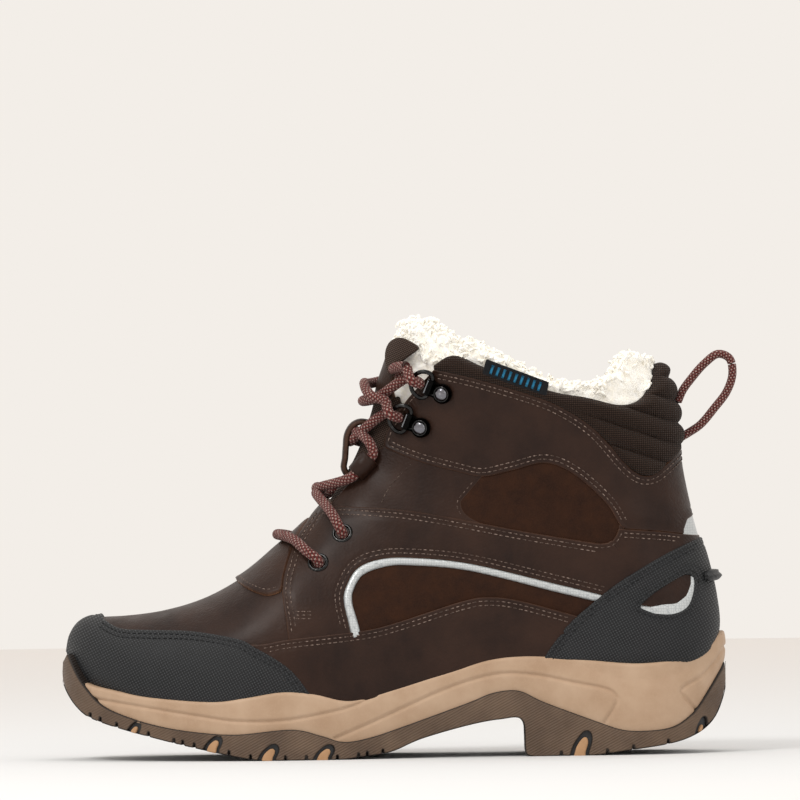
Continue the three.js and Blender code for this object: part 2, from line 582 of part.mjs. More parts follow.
function addTongue(cuts) {
  const face = layer(LAYER.leather, [0, 1]).intersect(region(throatOutline));
  const clear = face.subtract(clearOf(vampOutline)).subtract(clearOf(eyestayOutline));
  add("tongue_face", clear.subtract(cuts.lace).subtract(clearOf(paddingOutline)), MATERIAL.leather);
  const whole = tube(padDepth(0), 6, TONGUE_TOP).subtract(tube(padDepth(6), 5, RINGS));
  const pad = whole.intersect(region(innerThroat)).subtract(clearOf(paddingOutline));
  add("tongue", pad.subtract(cuts.lace), MATERIAL.fleece);
}

// ---------------------------------------------------------------- the lace's route
const CROSSING = LACE_DIAMETER + GAP; // from one strand's middle to the other's where they cross
const EYELETS = [[-103.8, 83.8], [-93.3, 96.1]];
const RIVETS = [[-58.4, 141.2], [-49, 155.8]];
const RING_DIRECTION = [-0.93, 0.37]; // from a rivet to its ring, seen from the side
const TUNNEL = [-83, 124];
const TUNNEL_DIRECTION = [0.69, 0.72];

// A strand's way over the ridge at x, z: the two strands lie side by side in the middle,
// and cross 11 mm to the medial side, where the one that started laterally rises over the other.
function acrossRidge(x, z, side, from, height, lift = CROSSING) {
  const apart = (side * CROSSING) / 2;
  const rise = side < 0 ? lift : 0;
  const way = [
    overRidge(x - 0.35 * apart, z - apart, -3, height),
    overRidge(x - 0.25 * apart, z - 0.7 * apart, 4, height),
    overRidge(x, z, 11, height + rise),
  ];
  return from < 0 ? way : way.reverse();
}

// The frame of a fitting on the surface at x, z: x along a direction of the side view, z outwards.
function frameAt([x, z], side, direction = RING_DIRECTION) {
  const { point, normal } = seenAt(x, z, side);
  const along = new THREE.Vector3(direction[0], 0, direction[1]);
  along.addScaledVector(normal, -along.dot(normal)).normalize();
  return new THREE.Matrix4().makeBasis(along, normal.clone().cross(along), normal).setPosition(point);
}

function inFrame(frame, points) {
  return points.map((point) => new THREE.Vector3(...point).applyMatrix4(frame));
}

// Under a ring's arc, up through the ring and back over the arc.
function throughRing(rivet, side) {
  return inFrame(frameAt(rivet, side), [
    [17.6, -1.4 * side, -0.3], [13.8, -0.8 * side, 0.2], [10.6, 0, 3.2], [13.4, side, 7.4],
    [16, 2.6 * side, 6.3], [18.1, 4.3 * side, 4.9],
  ]);
}

const throughTunnel = (side) => {
  return inFrame(frameAt(TUNNEL, side, TUNNEL_DIRECTION), [[-6.5, 0, 2.9], [0, 0, 2.9], [6.5, 0, 2.9]]);
};

// One strand, from the bar between the first eyelets to past the top ring.
function strand(side) {
  const other = -side;
  const [[x1, z1], [x2, z2]] = EYELETS;
  return [
    over(-112, 90.6, side, 4.4), over(-107.2, 85.8, side, 5), over(x1, z1, side, 3.3), over(x1, z1, side, -3.6),
    over(x1 - 1, z1 + 4, side, -6.6),
    ...acrossRidge(-109.5, 101, side, side, -4.8, -CROSSING),
    over(x2 - 3.4, z2 + 4, other, -6.4), over(x2, z2, other, -3.8), over(x2, z2, other, 3.6),
    over(-95.4, 101, other, 5),
    ...acrossRidge(-99.6, 112, side, other, 4.4),
    ...throughTunnel(side),
    over(-79.6, 134, side, 3.1),
    ...acrossRidge(-86, 137, side, side, 2.9),
    ...throughRing(RIVETS[0], other),
    ...acrossRidge(-79.6, 156.8, side, other, 2.9),
    ...throughRing(RIVETS[1], side),
  ];
}

// The free end, from past the top ring over the tongue's side edge and down inside the shaft.
function tail(side) {
  const tip = tailTip(side);
  const upward = (height) => tip.clone().setZ(tip.z + height);
  return [
    ...inFrame(frameAt(RIVETS[1], side), [[18.8, 4.9 * side, 4.5], [20, 6.6 * side, 3.7]]),
    over(-65, 169.9, side, 3), over(-60.6, 170.2, side, -1.5), over(-57.8, 166.5, side, -8),
    over(-57.8, 158, side, -14), upward(46), upward(28), upward(12), tip,
  ];
}

const tailTip = (side) => over(-60, 98, side, -17);

// ---------------------------------------------------------------- fittings
const settled = (part, at, side, direction) => part.clone().applyMatrix4(frameAt(at, side, direction));

function turned(profile, facets = 12) {
  const loop = [...profile, profile[0]].map(([r, z]) => new THREE.Vector2(r, z));
  return new THREE.LatheGeometry(loop, facets).rotateX(Math.PI / 2);
}

// A cylinder along Z.
function rod(radius, low, high, facets = 16) {
  const upright = new THREE.CylinderGeometry(radius, radius, high - low, facets).rotateX(Math.PI / 2);
  return upright.translate(0, 0, (low + high) / 2);
}

function eyeletShape() {
  const { hole, barrel, flange } = EYELET;
  return turned([
    [hole, -3.1], [flange - 0.3, -3.1], [flange - 0.3, -2.6], [barrel, -2.6], [barrel, 0.5], [flange, 0.5],
    [flange - 0.3, 1.1], [hole + 0.4, 1.3], [hole, 0.9],
  ]);
}

function rivetShape() {
  const foot = [[0, -2.9], [2.1, -2.9], [2.1, -2.3], [1, -2.3], [1, 1.5]];
  const dome = [[2.8, 1.5], [2.5, 2.3], [1.5, 2.9], [0, 3.1]];
  return turned([...foot, ...dome], 8);
}

const BAR = { along: 6.4, height: 2.2 }; // the ring's straight bar, from the rivet and off the leather

function clipShape() {
  const { radius, length, plate, sleeve, bore } = CLIP;
  const outline = new THREE.Shape().absarc(0, 0, radius, 0.8, 2 * Math.PI - 0.8);
  outline.lineTo(BAR.along, -length / 2);
  outline.lineTo(BAR.along, length / 2);
  outline.closePath();
  const flat = new THREE.ExtrudeGeometry(outline, { depth: plate, bevelEnabled: false, curveSegments: 5 });
  const along = (r, l) => new THREE.CylinderGeometry(r, r, l, 8).translate(BAR.along, 0, BAR.height);
  const body = solidOf(flat.translate(0, 0, 0.45)).add(solidOf(along(sleeve, length)));
  return geometryOf(body.subtract(solidOf(along(bore, length + 2))).subtract(solidOf(rod(1.35, -1, 3, 8))));
}

function ringShape() {
  const side = [[0, 2], [0, 4.2], [1.1, 5.6], [3.4, 5.9], [6.6, 4.2], [8.4, 0]];
  const loop = [...side, ...reversed(side.slice(0, -1)).map(([u, v]) => [u, -v])];
  const path = new THREE.CatmullRomCurve3(loop.map(([u, v]) => new THREE.Vector3(u, v, 0)), true, "centripetal");
  const ring = welded(new THREE.TubeGeometry(path, 18, RING.wire / 2, 6, true));
  return ring.rotateY(THREE.MathUtils.degToRad(-RING.lift)).translate(BAR.along, 0, BAR.height);
}

// A leather tunnel that the lace runs through, arched over it with its two legs on the leather.
function tunnelShape() {
  const [inner, outer, rise, foot] = [2.65, 3.95, 2.9, 0.45];
  const arch = new THREE.Shape().moveTo(-outer, foot).lineTo(-outer, rise).absarc(0, rise, outer, Math.PI, 0, true);
  arch.lineTo(outer, foot).lineTo(inner, foot).lineTo(inner, rise).absarc(0, rise, inner, 0, Math.PI, false);
  arch.lineTo(-inner, foot);
  const tunnel = new THREE.ExtrudeGeometry(arch, { depth: 9.5, bevelEnabled: false, curveSegments: 8 });
  return tunnel.rotateX(Math.PI / 2).rotateZ(Math.PI / 2).translate(-4.75, 0, 0);
}

// The strip of a side outline that follows a line with the given thickness.
function strip(points, thickness) {
  const line = new THREE.SplineCurve(points.map(([x, z]) => new THREE.Vector2(x, z)));
  const steps = Math.ceil(line.getLength() / 3);
  const offset = (distance) => line.getSpacedPoints(steps).map((p, i) => {
    const tangent = line.getTangentAt(i / steps);
    return [p.x - tangent.y * distance, p.y + tangent.x * distance];
  });
  return [...offset(thickness / 2), ...reversed(offset(-thickness / 2))];
}

const LOOP_PATH = [
  [54.8, 154.4], [57.5, 160], [63, 166.5], [69, 170.6], [73.8, 168.6], [75, 162], [72.5, 154.5], [67, 147.3],
  [61, 141.6], [55.6, 135.2],
];
const KEEPER_LINE = [
  [-93.6, 123.8], [-95.6, 127.5], [-95, 132.5], [-92.8, 137.6], [-90.6, 142.4], [-87.8, 145.4], [-84, 146.3],
];
const tagOutline = [[-30.6, 170.3], [-4.1, 160], [-5.3, 153.7], [-32.5, 163.4]];
const webOutline = [[-68.5, 179.1], [-59.6, 175.4], [-66.7, 170.2], [-71.3, 166.7], [-76, 171.7], [-73, 180]];
const spurOutline = [[50, 74], [72, 71.7], [72, 77.6], [50, 77.6]];

function addFittings(routes) {
  for (const [name, side] of Object.entries(sideOf)) {
    EYELETS.forEach((place, row) => {
      add(`eyelet_${row + 1}_${name}`, settled(solidGeometry(eyeletShape()), place, side), MATERIAL.metal);
    });
    RIVETS.forEach((place, row) => {
      add(`dring_clip_${row + 1}_${name}`, settled(clipShape(), place, side), MATERIAL.metal);
      add(`dring_${row + 1}_${name}`, settled(ringShape(), place, side), MATERIAL.metal);
      add(`rivet_${row + 1}_${name}`, settled(solidGeometry(rivetShape()), place, side), MATERIAL.metal);
    });
    add(`lace_loop_${name}`, settled(tunnelShape(), TUNNEL, side, TUNNEL_DIRECTION), MATERIAL.leather);
    add(`lace_tail_${name}`, routes.tails[name], MATERIAL.lace);
    add(`aglet_${name}`, routes.aglets[name], MATERIAL.plastic);
  }
  add("lace", routes.lace, MATERIAL.lace);
  add("lace_keeper", prism(strip(KEEPER_LINE, 1.5), -7, 5), MATERIAL.leather);
  const loop = LOOP_PATH.map(([x, z]) => new THREE.Vector3(x, 0, z));
  add("pull_loop", solidGeometry(cordAlong(loop, 3.6, 5, 8, 18)), MATERIAL.lace);
  const skin = (outer, inner) => tube(outer, 4, RINGS).subtract(tube(inner, 3, RINGS));
  add("side_tag", skin(-1.6, -0.7).intersect(region(tagOutline, -1)), MATERIAL.tag);
  add("tongue_tab", skin(-1.5, -0.3).intersect(region(webOutline, -1)), MATERIAL.textile);
  const behindHeel = prism([[58, 60], [80, 60], [80, 90], [58, 90]]);
  const spur = skin(-(OVERLAY + 4), -(OVERLAY + 2 * GAP)).intersect(region(spurOutline));
  add("spur_rest", spur.intersect(behindHeel), MATERIAL.leather);
}

// ---------------------------------------------------------------- assembly
// The lace and its free ends, as closed cords of the given diameter.
function laceRoutes(diameter) {
  const whole = [...strand(-1).reverse(), overRidge(-118.6, 92.6, 0, 4.4), ...strand(1)];
  const lace = cordAlong(whole, diameter, diameter, 6, 130);
  const ends = { lace: solidGeometry(lace), tails: {}, aglets: {} };
  for (const [name, side] of Object.entries(sideOf)) {
    ends.tails[name] = solidGeometry(cordAlong(tail(side), diameter, diameter, 8, 14));
    const tip = tailTip(side);
    ends.aglets[name] = rod(diameter / 2, -AGLET - GAP, -GAP, 12).translate(tip.x, tip.y, tip.z);
  }
  return ends;
}

function holes(places, radius) {
  const pieces = Object.values(sideOf).flatMap((side) => {
    return places.map((place) => solidOf(settled(rod(radius, -4, 4, 12), place, side)));
  });
  return wasm.Manifold.union(pieces);
}

const routes = laceRoutes(LACE_DIAMETER);
const wide = laceRoutes(LACE_DIAMETER + 2 * GAP);
const wideCords = [wide.lace, ...Object.values(wide.tails), ...Object.values(wide.aglets)];
const cuts = {
  eyelets: holes(EYELETS, EYELET.barrel + GAP),
  rivets: holes(RIVETS, 1 + GAP),
  lace: wasm.Manifold.union(wideCords.map(solidOf)),
};
addSole();
addUpper(cuts);
addLinings(cuts);
addTongue(cuts);
addFittings(routes);

export default boot;
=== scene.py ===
import math

import bpy
import numpy as np
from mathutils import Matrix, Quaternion, Vector


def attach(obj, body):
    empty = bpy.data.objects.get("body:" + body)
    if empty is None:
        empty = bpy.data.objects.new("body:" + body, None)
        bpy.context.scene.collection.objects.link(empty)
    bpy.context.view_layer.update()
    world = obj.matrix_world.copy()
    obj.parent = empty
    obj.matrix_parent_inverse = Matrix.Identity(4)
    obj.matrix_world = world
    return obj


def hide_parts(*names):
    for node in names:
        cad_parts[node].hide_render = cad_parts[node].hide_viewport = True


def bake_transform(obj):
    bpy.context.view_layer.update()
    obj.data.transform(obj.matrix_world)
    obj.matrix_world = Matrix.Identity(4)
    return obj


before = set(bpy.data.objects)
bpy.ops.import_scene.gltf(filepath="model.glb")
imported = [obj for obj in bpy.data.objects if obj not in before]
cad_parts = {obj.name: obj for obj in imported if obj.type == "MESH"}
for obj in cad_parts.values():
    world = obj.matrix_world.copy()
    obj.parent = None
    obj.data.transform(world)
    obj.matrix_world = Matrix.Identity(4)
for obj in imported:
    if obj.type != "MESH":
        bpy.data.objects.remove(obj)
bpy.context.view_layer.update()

# This script works in millimetres in the part's frame: toe to -X, outer side -Y, +Z up.
MM = 0.001
BODY = "boot"
SIDES = {"lateral": -1, "medial": 1}

# ---------------- the upper's surface
# front x, z, back x, z, half width, place of the widest point, roundness in front of and behind it, and
# shift to the medial side
SECTIONS = np.array([
    [-211.5, 46, -206, 32.5, 0, 0.5, 2.2, 2.2, 9],
    [-210, 53, -203, 29, 13, 0.55, 2.2, 2.6, 8.5],
    [-206, 58.5, -198, 26.5, 22, 0.6, 2.2, 3.2, 8],
    [-199, 61, -190, 24, 30, 0.64, 2.2, 4, 7],
    [-187, 62, -178, 21.5, 37.5, 0.68, 2.2, 5, 5.5],
    [-170, 64.3, -162, 19.5, 43, 0.72, 2.2, 5, 3.5],
    [-152, 69.5, -144, 18.5, 46.5, 0.75, 2.2, 5, 1.5],
    [-136, 78.5, -122, 18.2, 47.5, 0.76, 2.2, 6, 0],
    [-122, 89.5, -98, 19, 45.5, 0.78, 2.2, 6, -1],
    [-110, 100, -74, 21.5, 41, 0.79, 2.2, 7, -1.5],
    [-101, 110, -49, 26.3, 37, 0.8, 2.2, 7, -1.5],
    [-95, 119, -23, 31.2, 34.5, 0.8, 2.2, 7, -1],
    [-90, 127.5, 3, 33.2, 33.5, 0.8, 2.3, 7, -0.5],
    [-86.5, 135, 29, 33.5, 33, 0.8, 2.3, 6, 0],
    [-84, 142, 50, 35, 32.5, 0.8, 2.3, 4.5, 0],
    [-82, 148, 62, 41, 32.5, 0.78, 2.3, 3.2, 0],
    [-80.5, 153.5, 66.5, 53, 32.5, 0.74, 2.3, 2.5, 0],
    [-79, 158.5, 65.5, 67, 33, 0.68, 2.3, 2.2, 0],
    [-77.5, 163.5, 62.5, 81, 34, 0.62, 2.2, 2.2, 0],
    [-76, 168, 58.5, 95, 35, 0.58, 2.2, 2.2, 0],
    [-74.5, 172.5, 55, 109, 36, 0.55, 2.2, 2.2, 0],
    [-73, 177, 52.5, 124, 37, 0.53, 2.2, 2.2, 0],
    [-71.5, 181.5, 51.5, 139, 37.5, 0.52, 2.2, 2.2, 0],
    [-70, 186, 49, 155, 38, 0.51, 2.2, 2.2, 0],
    [-68.5, 190.5, 44.5, 170, 38, 0.5, 2.2, 2.2, 0],
])


def row_at(rows, place):
    """Uniform Catmull-Rom through rows of numbers, with place running from 0 to 1."""
    last = len(rows) - 1
    along = np.clip(np.asarray(place, float), 0, 1) * last
    first = np.minimum(np.floor(along).astype(int), last - 1)
    t = (along - first)[..., None]
    a, b, c, d = (rows[np.clip(first + step, 0, last)] for step in (-1, 0, 1, 2))
    return b + 0.5 * t * (c - a + t * (2 * a - 5 * b + 4 * c - d + t * (3 * (b - c) + d - a)))


def power(base, exponent):
    """A power that keeps the sign."""
    return np.sign(base) * np.abs(base) ** exponent


def surface(place, angle, depth=0.0):
    """A point of the upper: angle 0 is the front, positive to the medial side, pi is the back."""
    place, angle = np.broadcast_arrays(np.asarray(place, float), np.asarray(angle, float))
    ax, az, bx, bz, half, widest, front, back, shift = np.moveaxis(row_at(SECTIONS, place), -1, 0)
    length = np.hypot(bx - ax, bz - az)
    cosine = np.cos(angle)
    roundness = np.where(cosine > 0, front, back)
    share = np.where(cosine > 0, widest, 1 - widest)
    t = widest - share * power(cosine, 2 / roundness)
    along = depth + t * (length - 2 * depth)
    y = shift + np.maximum(half - depth, 0.05) * power(np.sin(angle), 2 / roundness)
    return np.stack([ax + (bx - ax) * along / length, y, az + (bz - az) * along / length], -1)


def unit(vectors):
    return vectors / np.maximum(np.linalg.norm(vectors, axis=-1, keepdims=True), 1e-9)


def normal_at(place, angle):
    """The direction out of the upper."""
    step = 0.004
    round_about = surface(place, angle + step) - surface(place, angle - step)
    low, high = np.clip(place - step, 0, 1), np.clip(place + step, 0, 1)
    return unit(np.cross(surface(high, angle) - surface(low, angle), round_about))


def place_of(x, z):
    """The place along the sections whose plane holds the point x, z of the side view."""
    x, z = np.asarray(x, float), np.asarray(z, float)
    low, high = np.zeros_like(x), np.ones_like(x)
    for _ in range(36):
        middle = (low + high) / 2
        ax, az, bx, bz = np.moveaxis(row_at(SECTIONS, middle), -1, 0)[:4]
        above = (bx - ax) * (z - az) - (bz - az) * (x - ax) > 0
        low, high = np.where(above, middle, low), np.where(above, high, middle)
    return low


def seen_at(x, z, side):
    """The place and angle of the surface's point that the side view shows at x, z."""
    place = place_of(x, z)
    ax, az, bx, bz, _, widest, front, back, _ = np.moveaxis(row_at(SECTIONS, place), -1, 0)
    t = ((x - ax) * (bx - ax) + (z - az) * (bz - az)) / ((bx - ax) ** 2 + (bz - az) ** 2)
    ahead = np.clip(1 - t / widest, 0, 1) ** (front / 2)
    behind = -(np.clip((t - widest) / (1 - widest), 0, 1) ** (back / 2))
    return place, side * np.arccos(np.where(t < widest, ahead, behind))


def over(x, z, side, height=0.0):
    """The point at a height over the surface where the side view shows x, z."""
    place, angle = seen_at(np.asarray(x, float), np.asarray(z, float), side)
    return surface(place, angle) + normal_at(place, angle) * np.asarray(height, float)[..., None]


def over_ridge(x, z, sideways, height):
    """The point over the front of the boot, level with the ridge at x, z, some way to one side."""
    place = place_of(x, z)
    half, front = row_at(SECTIONS, place)[..., 4], row_at(SECTIONS, place)[..., 6]
    angle = np.arcsin(power(sideways / half, front / 2))
    return surface(place, angle) + normal_at(place, angle) * height


# ---------------- seams and edges seen from the side
EDGE = {
    "outsole_top": [
        [-212.5, 46.1], [-209, 38], [-204.8, 31.4], [-197, 23.5], [-183.7, 18], [-169.8, 14.4],
        [-154.5, 12.2], [-139, 11.4], [-116, 13.2], [-103.2, 10.3], [-94, 7.6], [-83.3, 9], [-69, 13.4],
        [-40.5, 23.3],
        [-31.2, 27], [-23, 28.4], [-17, 27.6], [-7.5, 22.9], [15.5, 14.1], [25.5, 10.8], [34.7, 10.2],
        [46.2, 11.3], [53.9, 15.4], [59.3, 21.1], [68.5, 35.2], [70.2, 38.6],
    ],
    "outsole_bottom": [
        [-214.8, 42], [-214.5, 33], [-208.2, 22.6], [-198.3, 16.7], [-169.8, 8.6], [-143, 2.4], [-130, 0.2],
        [-113, 0], [-96, 0], [-84.7, 1.2], [-73.3, 3.1], [-60.5, 8.3], [-40.5, 13.7], [-26.9, 16],
        [-17.5, 15.6], [-16.3, 2.6], [-13.7, 0], [0, 0], [13, 0], [30, 2.2], [43.2, 4], [52.4, 6.2],
        [60, 9.9], [65.4, 15.2],
        [68.9, 22.9], [70.6, 30.5], [70.2, 38.6],
    ],
    "midsole_top": [
        [-212, 36], [-203, 32.6], [-192.9, 30.5], [-177.5, 27.6], [-150.7, 25.6], [-136, 27], [-119.9, 29.4],
        [-106, 28.2], [-90.4, 25.2], [-72, 30], [-47.6, 37], [-31, 41.6], [-15.5, 43], [2.5, 42],
        [25.5, 39.4], [36.7, 39.2], [47, 40.7], [57, 43.8], [65, 48.5], [70, 52],
    ],
    "foxing_top": [
        [-138, 50], [-128.5, 49.5], [-116.5, 51.5], [-86.3, 54.6], [-72, 57.6], [-42.5, 66.6], [-31, 68.2],
        [-18.4, 66.6], [5.7, 59.9], [40, 50],
    ],
    "toe_cap_top": [
        [-196, 59.6], [-189, 56.1], [-177.5, 55.4], [-158, 54.9], [-139, 51.9], [-131.5, 48.4], [-116, 38.5],
        [-104, 22],
    ],
    "heel_cover": [
        [-14, 30], [-7.4, 42.8], [2.5, 55.5], [11.1, 63.3], [25.5, 74.3], [46.6, 86.5], [64, 93.5],
    ],
    "heel_window": [[33.1, 63], [40, 69.2], [53.2, 76.5], [56.2, 73], [53.8, 63.5], [47.5, 60], [39.5, 60.4]],
    "throat_low": [[-119.5, 72], [-118.3, 79.8], [-113.5, 93], [-108.6, 100.8], [-103.8, 108]],
    "vamp_seam": [[-119.5, 72], [-118.9, 66], [-117.7, 58.7], [-116.5, 46]],
    "throat_high": [[-98, 108.4], [-89, 119], [-81, 128.6], [-74.9, 133]],
    "collar_front": [[-74.9, 133], [-73.8, 138.5], [-69.3, 146.5], [-64.4, 153.6], [-53, 166.1]],
    "eyestay_top": [
        [-103.8, 108], [-83.3, 107.2], [-65.2, 105.6], [-42.5, 101.6], [-15.4, 96.1], [16.6, 90.4],
    ],
    "inset_back": [[16.6, 90.4], [21.5, 91.2], [24.3, 95], [25, 98.8]],
    "heel_seam": [[25, 96.8], [43, 95.2], [53, 93.8], [72, 91.5]],
    "collar_low": [
        [-74.9, 132.6], [-60.8, 126.7], [-43.3, 121.9], [-33, 119.8], [-20.2, 122.4], [-6, 125.4],
        [6.3, 120.2], [19.6, 107.9], [25, 98.8],
    ],
    "inset_front": [[-33, 119.8], [-39.5, 112.4], [-42.5, 108.3], [-40, 103.6], [-33.5, 99.7]],
    "piping_outer": [
        [-89.5, 40], [-90.5, 53.8], [-93.3, 67.4], [-92, 74], [-87.5, 81.2], [-78.5, 85], [-65.2, 85.7],
        [-39.5, 82.9], [-3.3, 73.9], [16.6, 68.8], [34, 64], [47, 63.4], [54.5, 69.5], [56, 82],
    ],
    "piping_inner": [
        [-85.5, 40], [-86.3, 54.6], [-89.5, 67.3], [-88.4, 73.4], [-84.5, 78.8], [-75.5, 81.9], [-65.2, 82.4],
        [-39.5, 79.7], [-3.3, 70.3], [16.6, 65.2], [34, 60.4], [49, 60], [58, 67], [60, 82],
    ],
    "collar_top": [
        [-53, 166.1], [-34.3, 161.6], [-10.1, 154], [2.3, 148.4], [15.5, 139.2], [30, 122.7], [37.5, 119],
        [44, 122.4], [54.5, 132.6],
    ],
    "padding_top": [
        [-53, 167.3], [-45.5, 171], [-33.7, 166], [-5, 155.6], [12.5, 152.2], [27, 148.9], [37, 151],
        [43.5, 158.5], [46, 168],
    ],
    "tab_front": [[-140, 77], [-134, 73.1], [-126, 70.4], [-119.8, 72]],
    "fleece_top": [
        [-53, 179], [-38, 176], [-22, 168], [-4, 160], [14, 157.5], [25, 162], [32, 171], [40, 173],
        [50, 168],
    ],
}


def spline(points, spacing=2.0):
    """A Catmull-Rom curve through points of any dimension, as points with about this spacing."""
    points = np.asarray(points, float)
    dense = row_at(points, np.linspace(0, 1, 24 * len(points)))
    return resampled(dense, spacing)


def resampled(line, spacing):
    """Points along a polyline at an even spacing."""
    line = np.asarray(line, float)
    travelled = np.concatenate([[0], np.cumsum(np.linalg.norm(np.diff(line, axis=0), axis=1))])
    count = max(2, int(round(travelled[-1] / spacing)) + 1)
    at = np.linspace(0, travelled[-1], count)
    return np.stack([np.interp(at, travelled, line[:, k]) for k in range(line.shape[1])], -1)


edge = {name: spline(points) for name, points in EDGE.items()}


def joined(*parts):
    return np.concatenate([np.atleast_2d(np.asarray(part, float)) for part in parts])


def moved(line, dx, dz):
    return np.asarray(line, float) + [dx, dz]


def distance_inside(outline, x, z):
    """Distance from each point of the side view to a closed outline, positive inside it."""
    outline = np.asarray(outline, float)
    ahead = np.roll(outline, -1, axis=0)
    keep = np.linalg.norm(ahead - outline, axis=1) > 1e-6
    start, run = outline[keep], (ahead - outline)[keep]
    result = np.empty(len(x))
    for low in range(0, len(x), 4000):
        px, pz = x[low:low + 4000, None], z[low:low + 4000, None]
        t = ((px - start[:, 0]) * run[:, 0] + (pz - start[:, 1]) * run[:, 1]) / (run ** 2).sum(1)
        t = np.clip(t, 0, 1)
        nearest = np.hypot(px - start[:, 0] - t * run[:, 0], pz - start[:, 1] - t * run[:, 1]).min(1)
        spans = (start[:, 1] > pz) != (start[:, 1] + run[:, 1] > pz)
        with np.errstate(divide="ignore", invalid="ignore"):
            crossing = start[:, 0] + (pz - start[:, 1]) * run[:, 0] / run[:, 1]
        inside = (spans & (px < crossing)).sum(1) % 2 == 1
        result[low:low + 4000] = np.where(inside, nearest, -nearest)
    return result


def inside(*outline_parts):
    """The region inside an outline. A region gives a point's distance to its edge, positive inside."""
    outline = joined(*outline_parts)
    return lambda x, z: distance_inside(outline, x, z)


def grown(region, by):
    """The region with its edge moved out."""
    return lambda x, z: region(x, z) + by


def both(*regions):
    """Everything that lies in all of the regions."""
    return lambda x, z: np.minimum.reduce([region(x, z) for region in regions])


def any_of(regions):
    """Everything that lies in one of the regions."""
    return lambda x, z: np.maximum.reduce([region(x, z) for region in regions])


def outside(region, by=0.0):
    """Everything that is further than by from the region."""
    return lambda x, z: -region(x, z) - by


def offset_line(line, distance):
    """A line of the side view moved to its left."""
    along = unit(np.gradient(line, axis=0))
    return line + distance * np.stack([-along[:, 1], along[:, 0]], -1)


# ---------------- regions of the panels
in_throat = inside(
    edge["throat_high"], edge["collar_front"][1:], [[-42, 184], [-42, 200], [-130, 200], [-130, 150]],
)
in_foxing = inside(edge["foxing_top"], [[80, 50], [80, -10], [-138, -10]])
in_piping_outer = inside(edge["piping_outer"], [[80, 82], [80, 20], [-86, 20]])
in_piping_inner = inside(edge["piping_inner"], [[80, 82], [80, 20], [-86, 20]])
in_inset = inside(
    edge["inset_front"][:-1], edge["eyestay_top"][edge["eyestay_top"][:, 0] > -33], edge["inset_back"][1:],
    edge["collar_low"][(edge["collar_low"][:, 0] > -33) & (edge["collar_low"][:, 0] < 24.5)][::-1],
)
in_eyestay = inside(
    edge["vamp_seam"][::-1], edge["throat_low"][1:], edge["eyestay_top"][1:], edge["inset_back"][1:-1],
    edge["heel_seam"], [[80, 80], [80, -10], [-116, -10]],
)
in_collar = inside(
    edge["collar_front"], edge["collar_top"][1:], [[75, 145], [75, 91.4]], edge["heel_seam"][1:-1][::-1],
    edge["collar_low"][::-1],
)
in_saddle = inside(edge["throat_high"], edge["collar_low"], [[25, 88], [-15, 90], [-98, 102]])
in_reflector = inside([[52.6, 84], [52.9, 95.9], [54.5, 100], [58.6, 102.4], [75, 106], [75, 84]])
in_vamp = inside(
    edge["throat_low"][::-1], edge["vamp_seam"][1:], [[-116.5, -10], [-230, -10], [-230, 120], [-115, 120]],
)
in_toe_cap = inside(edge["toe_cap_top"], [[-104, -10], [-230, -10], [-230, 80], [-203, 75]])
in_heel_cover = inside(edge["heel_cover"], [[80, 97], [80, -10], [-30, -10], [-30, 20]])
in_heel_window = inside(edge["heel_window"])
in_window_film = inside([
    [28, 58], [36, 62.8], [42.5, 64.2], [49, 64.6], [53.2, 67.6], [55.2, 72.6], [54.6, 77.6], [58.6, 79],
    [60, 70], [57.5, 62], [50, 56.8], [38, 56.5],
])
in_tab = inside(edge["tab_front"], edge["throat_low"][1:], [[-105, 125], [-150, 100]])
in_padding = inside(edge["collar_top"], [[60, 138], [60, 172]], edge["padding_top"][::-1])
in_view = inside(moved(edge["midsole_top"], 0, -5), [[90, 60], [90, 200], [-235, 200], [-235, 30]])


# ---------------- meshes
def mesh_object(name, points, faces, material, attributes=None, smooth=True, uv=None):
    """A mesh from points in millimetres and an array of triangles or quads."""
    points, faces = np.asarray(points, float), np.asarray(faces, int)
    mesh = bpy.data.meshes.new(name)
    corners = faces.shape[1]
    mesh.vertices.add(len(points))
    mesh.vertices.foreach_set("co", (points * MM).ravel())
    mesh.loops.add(faces.size)
    mesh.loops.foreach_set("vertex_index", faces.ravel())
    mesh.polygons.add(len(faces))
    mesh.polygons.foreach_set("loop_start", np.arange(len(faces)) * corners)
    mesh.polygons.foreach_set("loop_total", np.full(len(faces), corners))
    mesh.update(calc_edges=True)
    mesh.polygons.foreach_set("use_smooth", np.full(len(faces), smooth))
    for key, values in (attributes or {}).items():
        mesh.attributes.new(key, "FLOAT", "POINT").data.foreach_set("value", np.asarray(values, np.float32))
    if uv is not None:
        layer = mesh.uv_layers.new(name="UVMap")
        layer.data.foreach_set("uv", np.asarray(uv, np.float32)[faces.ravel()].ravel())
    mesh.validate()
    obj = bpy.data.objects.new(name, mesh)
    bpy.context.scene.collection.objects.link(obj)
    mesh.materials.append(material)
    return obj


def belongs(obj, slot, *nodes, body=BODY):
    """The piece rides on a body and stands for the CAD nodes. The slot is not used."""
    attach(obj, body)
    if nodes:
        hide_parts(*nodes)
    return obj


def grid_faces(rows, columns, closed=False):
    """The quads of a grid of points, closed where its last column joins the first."""
    index = np.arange(rows * columns).reshape(rows, columns)
    if closed:
        index = np.concatenate([index, index[:, :1]], axis=1)
    return np.stack([index[:-1, :-1], index[1:, :-1], index[1:, 1:], index[:-1, 1:]], -1).reshape(-1, 4)


def capped(quads, *fans):
    """Triangles that face outwards, from the quads of a tube and the fans of its two ends."""
    return np.concatenate([quads[:, [0, 2, 1]], quads[:, [0, 3, 2]], *fans])


def fan(here, ahead, centre):
    """Triangles from a ring's points, and the points ahead of them, to a centre."""
    return np.stack([here, ahead, np.full(len(here), centre)], -1)


